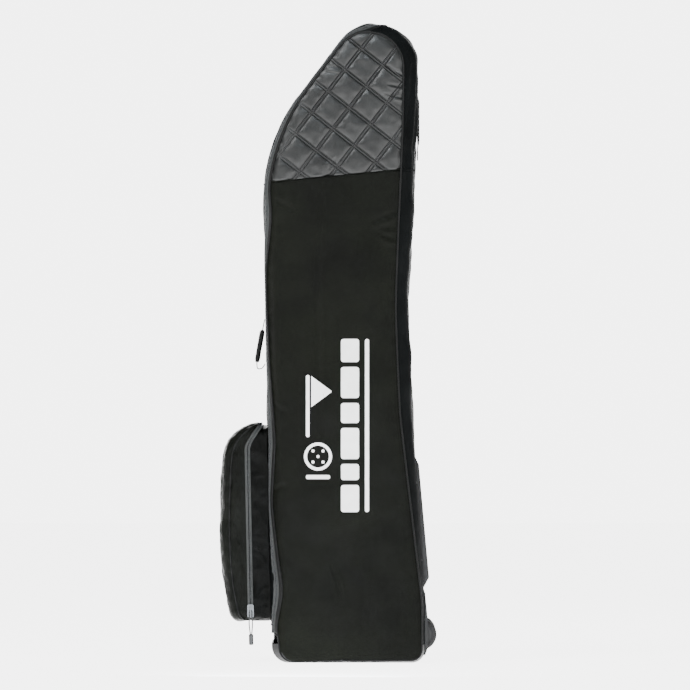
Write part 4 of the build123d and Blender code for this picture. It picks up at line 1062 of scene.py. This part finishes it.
def add_pocket():
    """Gusset, flap, zip and piping of the shoe pocket."""
    ring, out = pocket_ring()
    count = len(ring)
    columns = 20
    share = np.linspace(0, 1, columns)
    back = ring.copy()
    back[:, 1] = pocket_panel_y(back[:, 2]) - 0.6 * MM
    around = np.arange(count)[:, None] * 3 * MM + 0 * share
    reach = share[None] * np.abs(ring[:, 1] - back[:, 1])[:, None]
    lift = pocket_folds(around, reach, 41, 5.5 * MM) * np.sin(math.pi * np.clip(share, 0, 1)) ** 0.7
    gather = np.sin(around / 7.5 / MM + 2 * ripple(around, reach, 44, 0.2))
    lift += 1.1 * MM * gather * share * (1 - share) * 2
    lift = np.minimum(lift - 2.0 * MM * np.sin(math.pi * share), 1.2 * MM)
    grid = back[:, None] + (ring - back)[:, None] * share[None, :, None] + out[:, None] * lift[..., None]
    grid = np.concatenate([grid, grid[:1]])
    direction = np.concatenate([out, out[:1]])[:, None] + 0 * grid
    soft_panel("pocket_gusset_cloth", grid, BLACK["gusset"], "front_door", ["pocket_gusset"],
               thickness=1.8 * MM, outward=direction)

    heights = np.array(list(POCKET_FACE)) * MM
    faces_y = -np.array(list(POCKET_FACE.values())) * MM
    lead = np.linspace(-0.1974, faces_y[0], 6)[:-1]
    profile = [(y, POCKET_FLOOR) for y in lead] + list(zip(faces_y, heights))
    profile += [(y, POCKET_ROOF) for y in np.linspace(-0.1815, -0.1746, 3)]
    profile = np.array(profile)
    run = run_along(profile)
    even = np.linspace(0, run[-1], 150)
    profile = sample(even, run, profile)
    for _ in range(3):
        profile[1:-1] = (profile[:-2] + 2 * profile[1:-1] + profile[2:]) / 4
    side_columns, arc_columns, face_columns = 18, 9, 60
    rows = []
    for y, z in profile:
        half, zip_y = float(pocket_half(z)), float(table_at(POCKET_ZIP, z)) - 0.8 * MM
        depth = max(zip_y - y, 0.0)
        r = min(POCKET_EDGE * 0.8, depth)
        side_y = np.linspace(zip_y if depth > 0 else y, y + r, side_columns)
        angle = np.linspace(0, math.pi / 2, arc_columns)[1:-1]
        near = [(half, v) for v in side_y]
        near += [(half - r + r * math.cos(a), y + r - r * math.sin(a)) for a in angle]
        across = np.linspace(half - r, r - half, face_columns)
        line = near + [(x, y) for x in across] + [(-x, v) for x, v in near[::-1]]
        rows.append([(x, v, z) for x, v in line])
    grid = np.array(rows)
    width = grid.shape[1]
    centre = np.array([0, -0.205, 0.0]) + np.array([0, 0, 1.0]) * np.clip(grid[..., 2:], 0.13, 0.44)
    normal = grid_normals(grid)
    if (normal * (grid - centre)).sum() < 0:
        normal = -normal
    length = np.linspace(-0.5, 0.5, width)[None] * 0.42 + 0 * grid[..., 0]
    height = even[:, None] + 0 * length
    steps = np.arange(width)
    edge = np.minimum(np.minimum(steps, width - 1 - steps) / 9, 1)[None]
    levels = np.arange(len(even))
    ends = np.minimum(np.minimum(levels, len(even) - 1 - levels) / 8, 1)[:, None]
    sag = 2.0 * MM * ripple(length, height, 51, 0.14) + pocket_folds(length, height, 53, 4.6 * MM)
    face = np.clip((np.minimum(steps, width - 1 - steps) - side_columns) / 10, 0, 1)[None]
    belly = 3.5 * MM * face * np.sin(math.pi * np.clip(even / even[-1], 0, 1))[:, None]
    seam_at = np.exp(-(((steps - side_columns + 1) / 1.6) ** 2))
    seam_at = seam_at + np.exp(-(((width - side_columns - steps) / 1.6) ** 2))
    pucker = 0.8 * MM * np.sin(height / 5.0 / MM + 2 * ripple(height, length, 57, 0.3)) * seam_at[None]
    grid += normal * ((sag * 0.8 + belly) * edge * ends + pucker * ends - 0.4 * MM * seam_at[None])[..., None]
    soft_panel("pocket_flap_cloth", grid, BLACK["pocket"], "pocket_door", ["pocket_flap"],
               thickness=1.8 * MM, outward=grid - centre)
    for side, column in (("near", side_columns - 1), ("far", width - side_columns)):
        path = grid[8:-6, column] + normal[8:-6, column] * 0.8 * MM
        tube(f"pocket_piping_{side}", path, 1.5 * MM, BLACK["piping"], "pocket_door", sides=8)

    floor = POCKET_FLOOR + POCKET_EDGE / 2
    shown = np.where(ring[:, 2] > floor)[0]
    line, up = ring[shown], out[shown]
    for half, sign, body in (("gusset", 1, "front_door"), ("flap", -1, "pocket_door")):
        offsets = np.linspace(0.5 * MM, POCKET_TAPE, 5)
        rises = np.array([1.3, 1.5, 1.5, 1.5, 1.3]) * MM
        strip = [line + np.array([0, sign * d, 0]) + up * rise for d, rise in zip(offsets, rises)]
        soft_panel(f"pocket_tape_{half}", np.array(strip), TAPE, body, [f"pocket_zip_tape_{half}"],
                   thickness=1.0 * MM, outward=np.array([up] * 5), lining=TAPE)
        place = line + np.array([0, sign * 1.55 * MM, 0]) + up * 1.4 * MM
        teeth_along(f"pocket_teeth_{half}", place, up, body, [f"pocket_zip_coil_{half}"], 2.2 * MM, 1.1 * MM)


CORD_D = 2.4 * MM
CORD_DROP = 46  # millimetres from the bail to the moulded end
CORD_LEAN = -0.0204  # the cord hangs this far from upright, as a slope
CORD_POINTS = [  # across and up, in millimetres from the bail
    (-1.4, -46), (-3.7, -28), (-2.7, -13), (-2.5, 2.5), (2.5, 2.5), (2.7, -13), (3.7, -28), (1.4, -46),
]


def add_pull_cord():
    """The loop of cord through the pocket slider's bridge; its moulded end is a CAD node."""
    low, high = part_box("pocket_pull_cord")
    middle = (low + high) / 2
    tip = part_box("pocket_pull_tip")
    axis_y = (tip[0].y + tip[1].y) / 2
    curve = bpy.data.curves.new("pull_cord", "CURVE")
    curve.dimensions = "3D"
    line = curve.splines.new("NURBS")
    line.points.add(len(CORD_POINTS) - 1)
    for point, (x, y) in zip(line.points, CORD_POINTS):
        above = (y + CORD_DROP) * MM
        point.co = (middle.x, axis_y + x * MM + CORD_LEAN * (above + 11 * MM), tip[1].z + above, 1)
    line.order_u = 3
    line.use_endpoint_u = True
    line.resolution_u = 12
    curve.bevel_depth = CORD_D / 2
    curve.bevel_resolution = 3
    curve.materials.append(CORD)
    piece = bpy.data.objects.new("pull_cord", curve)
    bpy.context.collection.objects.link(piece)
    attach(piece, "pocket_pull")
    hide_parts("pocket_pull_cord")


# ---------------------------------------------------------------- handles
CARRY_TOP, CARRY_FOOT = 688 * MM, 598 * MM
CARRY_GRIP = (24 * MM, 10 * MM)  # width, thickness
HAUL_GRIP_WIDTH = 42 * MM
BAND_THICK = 2.0 * MM
PATCH_HALF, PATCH_HEIGHT, PATCH_THICK = 14 * MM, 24 * MM, 2.0 * MM
HOOD_BACK_Y = 0.137
HAUL_SEWN = 22 * MM  # length sewn flat at each end


def route_frame(route):
    """(y, z) rows as an array, their normals, and the distance along them."""
    route = np.asarray(route, float)
    tangent = np.gradient(route, axis=0)
    tangent /= np.linalg.norm(tangent, axis=1, keepdims=True)
    return route, np.stack([-tangent[:, 1], tangent[:, 0]], 1), run_along(route)


def webbing_loops(route, width, thick, columns=13):
    """Closed loops of flat webbing, `width` across X, along (y, z) rows."""
    route, normal, run = route_frame(route)
    share = np.linspace(-1, 1, columns)
    ribs = 0.12 * MM * np.sin(run / 0.35 / MM)
    loops = []
    for x, side in [(share, 1), (share[::-1], -1)]:
        edge = 1 - 0.35 * np.abs(x) ** 8
        lift = side * thick / 2 * edge[None] + side * ribs[:, None] * (np.abs(x) < 0.95)[None]
        half = np.broadcast_to(np.asarray(width) / 2, run.shape)[:, None]
        px = half * x[None]
        py = route[:, :1] + normal[:, :1] * lift
        pz = route[:, 1:] + normal[:, 1:] * lift
        loops.append(np.stack([px, py, pz], -1))
    return np.concatenate(loops, 1)


def closed_loft(name, loops, material, body, replaces=()):
    """Rows of closed loops joined into one skin with capped ends."""
    rows, cols = loops.shape[:2]
    points, faces = loops.reshape(-1, 3), []
    for i in range(rows - 1):
        for j in range(cols):
            k = (j + 1) % cols
            faces.append((i * cols + j, i * cols + k, (i + 1) * cols + k, (i + 1) * cols + j))
    faces.append(tuple(range(cols))[::-1])
    faces.append(tuple((rows - 1) * cols + j for j in range(cols)))
    return add_mesh(name, points, faces, [material], body, replaces)


def rounded_route(points, radii, step=1.2 * MM):
    """(y, z) rows along straight runs with rounded corners."""
    points = [np.array(p, float) for p in points]
    rows = [points[0]]
    for before, corner, after, radius in zip(points, points[1:], points[2:], radii):
        a, b = before - corner, after - corner
        la, lb = np.linalg.norm(a), np.linalg.norm(b)
        a, b = a / la, b / lb
        half = math.acos(max(-1.0, min(1.0, float(a @ b)))) / 2
        cut = min(radius / math.tan(half), 0.49 * la, 0.49 * lb)
        start, end = corner + a * cut, corner + b * cut
        for t in np.linspace(0, 1, 9):
            rows.append((1 - t) ** 2 * start + 2 * t * (1 - t) * corner + t * t * end)
    rows.append(points[-1])
    rows = np.array(rows)
    run = run_along(rows)
    return sample(np.linspace(0, run[-1], int(run[-1] / step)), run, rows)


def stitches(name, path, up, body, length=2.6 * MM, gap=1.1 * MM):
    """A run of thread along a line, one raised stitch after another."""
    run = run_along(path)
    starts = np.arange(0.4 * MM, run[-1] - length, length + gap)
    points, faces = [], []
    for start in starts:
        at = np.linspace(start, start + length, 4)
        centre, out = sample(at, run, path), sample(at, run, up)
        out /= np.linalg.norm(out, axis=1, keepdims=True)
        ahead = centre[-1] - centre[0]
        ahead /= np.linalg.norm(ahead)
        for k, (c, u) in enumerate(zip(centre, out)):
            side = np.cross(u, ahead)
            arch = (0.05, 0.35, 0.35, 0.05)[k] * MM
            for x, z in ((-0.4, 0.0), (-0.22, 0.3), (0.22, 0.3), (0.4, 0.0)):
                points.append(c + side * x * MM + u * (arch + z * MM - 0.15 * MM))
        base = len(points) - 16
        for k in range(3):
            for j in range(3):
                a = base + 4 * k + j
                faces.append((a, a + 1, a + 5, a + 4))
    return add_mesh(name, points, faces, [THREAD], body)


def add_grip(name, route, width, thick, body, replaces, seed):
    """Padded sleeve along (y, z) rows, rounded, puckered and tied in at its ends."""
    route, normal, run = route_frame(route)
    t = run / run[-1]
    full = 0.62 + 0.38 * np.clip(np.minimum(t, 1 - t) / 0.10, 0, 1) ** 0.5
    angle = np.linspace(0, 2 * math.pi, 41)[:-1]
    squircle = (np.abs(np.cos(angle)) ** 3.2 + np.abs(np.sin(angle)) ** 3.2) ** (-1 / 3.2)
    rough = ripple(run[:, None], angle[None] * 8 * MM, seed, 0.02)
    swell = 1 + 0.045 * rough + 0.02 * np.sin(run[:, None] / 1.7 / MM + rough)
    a = (width / 2) * (np.cos(angle) * squircle)[None] * (0.94 + 0.06 * full[:, None])
    b = (thick / 2) * (np.sin(angle) * squircle)[None] * full[:, None] * swell
    seam = np.exp(-((angle - 1.5 * math.pi) / 0.05) ** 2)[None] * 0.5 * MM
    b = b + seam
    points = np.stack([a, route[:, :1] + normal[:, :1] * b, route[:, 1:] + normal[:, 1:] * b], -1)
    grip = closed_loft(name, points, BLACK["grip"], body, replaces)
    for x in (-0.40, 0.40):
        path = np.stack([x * width + 0 * t, route[:, 0], route[:, 1]], 1)[3:-3]
        out = np.stack([0 * t, normal[:, 0], normal[:, 1]], 1)[3:-3]
        outward = 1 if out[len(out) // 2] @ (0, math.copysign(1, route[0, 0]), 0) > 0 else -1
        path = path + out * outward * (thick / 2 * 0.97)
        stitches(f"{name}_stitch_{'left' if x < 0 else 'right'}", path, out * outward, body)


def add_patch(name, corners, out, body, replaces=()):
    """A sewn square of webbing: a thick pad on (y, z) `corners`, with a crossed box of stitches."""
    (y0, z0), (y1, z1) = corners
    half = PATCH_HALF
    x, t = np.meshgrid(np.linspace(-half, half, 25), np.linspace(0, 1, 25))
    edge = np.minimum(1 - np.abs(x) / half, np.minimum(t, 1 - t) * 2)
    rise = PATCH_THICK * (1 - np.exp(-edge / 0.05)) * 0.9
    rise = rise + 0.1 * MM * ripple(x, t * PATCH_HEIGHT, 61, 0.01)
    grid = np.stack([x, y0 + (y1 - y0) * t, z0 + (z1 - z0) * t], -1)
    grid = grid + np.array([0, out, 0]) * rise[..., None]
    soft_panel(name, grid, WEBBING, body, replaces, 1.2 * MM, outward=np.array([0, out, 0]) + 0 * grid,
               lining=WEBBING)
    inset = 3 * MM

    def place(u, v):
        t = np.clip(v, 0, 1)
        return np.stack([u, y0 + (y1 - y0) * t + out * PATCH_THICK, z0 + (z1 - z0) * t], -1)

    share = inset / abs(z1 - z0)
    side = half - inset
    square = [(-side, share), (side, share), (side, 1 - share), (-side, 1 - share)]
    route = square + [square[0], square[2], square[3], square[1]]
    path = []
    for (u0, v0), (u1, v1) in zip(route, route[1:]):
        k = np.linspace(0, 1, 12)
        path.append(place(u0 + (u1 - u0) * k, v0 + (v1 - v0) * k))
    path = np.concatenate(path)
    keep = np.r_[True, np.linalg.norm(np.diff(path, axis=0), axis=1) > 1e-6]
    path = path[keep]
    stitches(f"{name}_stitch", path, np.array([0, out, 0]) + 0 * path, body)


def add_handles():
    """Carry handle on the front and haul handle on the back of the hood."""
    top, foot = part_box("carry_handle_webbing")[1].z - 1 * MM, CARRY_FOOT

    def face(z):
        return float(pocket_panel_y(z))

    route = rounded_route(
        [
            (face(top) - 3.4 * MM, CARRY_TOP),
            (face(top) - 7.4 * MM, CARRY_TOP - 20 * MM),
            (face(foot) - 21 * MM, 600 * MM),
            (face(foot) - 20 * MM, 587 * MM),
            (face(foot) - 10 * MM, 589 * MM),
            (face(foot) - 4 * MM, CARRY_FOOT),
        ],
        [30 * MM, 24 * MM, 4.5 * MM, 4.5 * MM],
    )
    taper = np.interp(route[:, 1] * 1000, [586, 597, 604, 670, 688], [10, 11, 20, 20, 9]) * MM
    closed_loft("carry_webbing", webbing_loops(route, taper, BAND_THICK), WEBBING, "carry_handle",
                ["carry_handle_webbing"])
    straight = [p for p in route if 601 * MM < p[1] < 667 * MM and p[0] < face(p[1]) - 6 * MM]
    add_grip("carry_grip", straight, *CARRY_GRIP, "carry_handle", ["carry_handle_grip"], 71)
    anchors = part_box("carry_handle_anchors")
    ends = ((anchors[1].z - PATCH_HEIGHT, anchors[1].z), (anchors[0].z, anchors[0].z + PATCH_HEIGHT))
    for k, (z0, z1) in enumerate(ends):
        gone = ["carry_handle_anchors"] if k == 0 else []
        add_patch(f"carry_patch_{k}", ((face(z0), z0), (face(z1), z1)), -1, "front_door", gone)

    low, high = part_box("haul_handle_webbing")
    grip_low, grip_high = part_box("haul_handle_grip")
    flat = HOOD_BACK_Y + BAND_THICK / 2
    stand = (grip_low.y + grip_high.y) / 2
    route = rounded_route(
        [
            (flat, high.z),
            (flat, high.z - HAUL_SEWN),
            (stand, high.z - 34 * MM),
            (stand, low.z + 34 * MM),
            (flat, low.z + HAUL_SEWN),
            (flat, low.z),
        ],
        [30 * MM] * 4,
    )
    closed_loft("haul_webbing", webbing_loops(route, high.x - low.x, BAND_THICK, 19), WEBBING, "case",
                ["haul_handle_webbing"])
    straight = [p for p in route if grip_low.z < p[1] < grip_high.z]
    add_grip("haul_grip", straight, HAUL_GRIP_WIDTH, grip_high.y - grip_low.y, "case",
             ["haul_handle_grip"], 73)
    for k, z in enumerate((high.z, low.z + 20 * MM)):
        y = flat + BAND_THICK / 2
        x = 16 * MM
        loop = [(-x, z - 2 * MM), (x, z - 2 * MM), (x, z - 18 * MM), (-x, z - 18 * MM), (-x, z - 2 * MM),
                (x, z - 18 * MM), (x, z - 2 * MM), (-x, z - 18 * MM)]
        path = []
        for (x0, z0), (x1, z1) in zip(loop, loop[1:]):
            t = np.linspace(0, 1, 14)[: -1]
            path.append(np.stack([x0 + (x1 - x0) * t, y + 0 * t, z0 + (z1 - z0) * t], 1))
        path = np.concatenate(path)
        stitches(f"haul_stitch_{k}", path, np.array([0, 1.0, 0]) + 0 * path, "case")


# ---------------------------------------------------------------- print
def cloth_tree(name):
    """A piece of cloth as a body for rays to hit."""
    mesh = bpy.data.objects[name].data
    verts = [v.co.copy() for v in mesh.vertices]
    return BVHTree.FromPolygons(verts, [list(f.vertices) for f in mesh.polygons])


def add_print(side, sign):
    """Plain marks printed on one side: a ball on a tee beside a flag, and a run of bars."""
    tree = cloth_tree(f"side_cloth_{side}")
    points, faces = [], []

    def lay(rows):
        """Lay a grid of (y, z) on the cloth."""
        rows = np.asarray(rows, float)
        n, m = rows.shape[:2]
        base = len(points)
        for y, z in rows.reshape(-1, 2):
            hit = tree.ray_cast(Vector((sign * 0.3, sign * y, z)), Vector((-sign, 0, 0)))[0]
            if hit is None:
                hit = Vector((sign * SIDE, y, z))
            points.append(hit + Vector((sign * 0.22 * MM, 0, 0)))
        faces.extend(grid_faces(n, m, base))

    def slab(y0, y1, z0, z1, corner=3 * MM):
        """A bar with rounded corners; y is across, z along."""
        count = max(int((z1 - z0) / (3 * MM)), 10)
        if z1 - z0 < 20 * MM:
            along = z0 + (z1 - z0) * (0.5 - 0.5 * np.cos(np.pi * np.linspace(0, 1, count)))
        else:
            turn = corner * (1 - np.cos(np.linspace(0, np.pi / 2, 7)))
            middle = np.linspace(z0 + corner, z1 - corner, count)[1:-1]
            along = np.r_[z0 + turn, middle, z1 - turn[::-1]]
        near = np.clip(np.minimum(along - z0, z1 - along), 0, corner)
        cut = corner - np.sqrt(np.maximum(corner ** 2 - (corner - near) ** 2, 0))
        lanes = np.linspace(0, 1, max(int((y1 - y0) / (3 * MM)), 3))
        lay([[(y0 + c + (y1 - y0 - 2 * c) * t, z) for t in lanes] for z, c in zip(along, cut)])

    def disc(y, z, inner, outer):
        """A ring, or a full disc where inner is 0."""
        angles = np.linspace(0.0, 2 * math.pi, 73)
        radii = np.linspace(inner, outer, 7)
        lay([[(y + r * math.cos(a), z + r * math.sin(a)) for a in angles] for r in radii])

    # the ball, with a few dimples, on its tee
    disc(-0.062, 0.413, 22 * MM, 28 * MM)
    for y, z in ((-0.062, 0.413), (-0.072, 0.424), (-0.052, 0.424), (-0.072, 0.402), (-0.052, 0.402)):
        disc(y, z, 0.0, 3.0 * MM)
    slab(-0.086, -0.038, 0.368, 0.376, 3 * MM)
    # the flag on its pole
    slab(-0.086, -0.079, 0.452, 0.576, 3 * MM)
    flag = np.linspace(0, 1, 24)
    lay([
        [(-0.0755 + 0.042 * (1 - abs(2 * t - 1)) * u, 0.512 + 0.062 * t) for u in np.linspace(0, 1, 9)]
        for t in flag
    ])
    # bars
    bars = ((0.302, 0.356), (0.366, 0.398), (0.408, 0.470), (0.480, 0.520), (0.530, 0.592), (0.602, 0.648))
    for low, high in bars:
        slab(-0.016, 0.020, low, high, 5 * MM)
    slab(0.032, 0.040, 0.302, 0.648, 3.6 * MM)
    if sign < 0:
        faces[:] = [f[::-1] for f in faces]
    add_mesh(f"print_{side}", points, faces, [INK], "case")


# ---------------------------------------------------------------- assembly
add_camera()
add_stage()
dress_nodes()
add_main_zip()
add_front_panels()
add_back_panels()
add_skirt()
add_side("right", 1)
add_side("left", -1)
add_pocket()
add_pull_cord()
add_handles()
add_print("right", 1)
add_print("left", -1)
add_area("key", (2.4, -2.0, 3.6), (0, 0, 1.0), 1.3, 205)
add_area("fill", (3.4, 2.8, 1.6), (0, 0, 0.6), 2.4, 70)
add_area("back", (-2.2, 1.8, 2.8), (0, 0, 0.9), 1.8, 90)
add_area("hood", (0.75, -0.1, 1.75), (SIDE, 0.02, 1.27), 0.3, 7, (0.84, 0.93, 1.0))
add_area("foot", (0.9, -0.1, 0.04), (SIDE, 0.0, 0.05), 0.4, 8, (0.85, 0.93, 1.0))
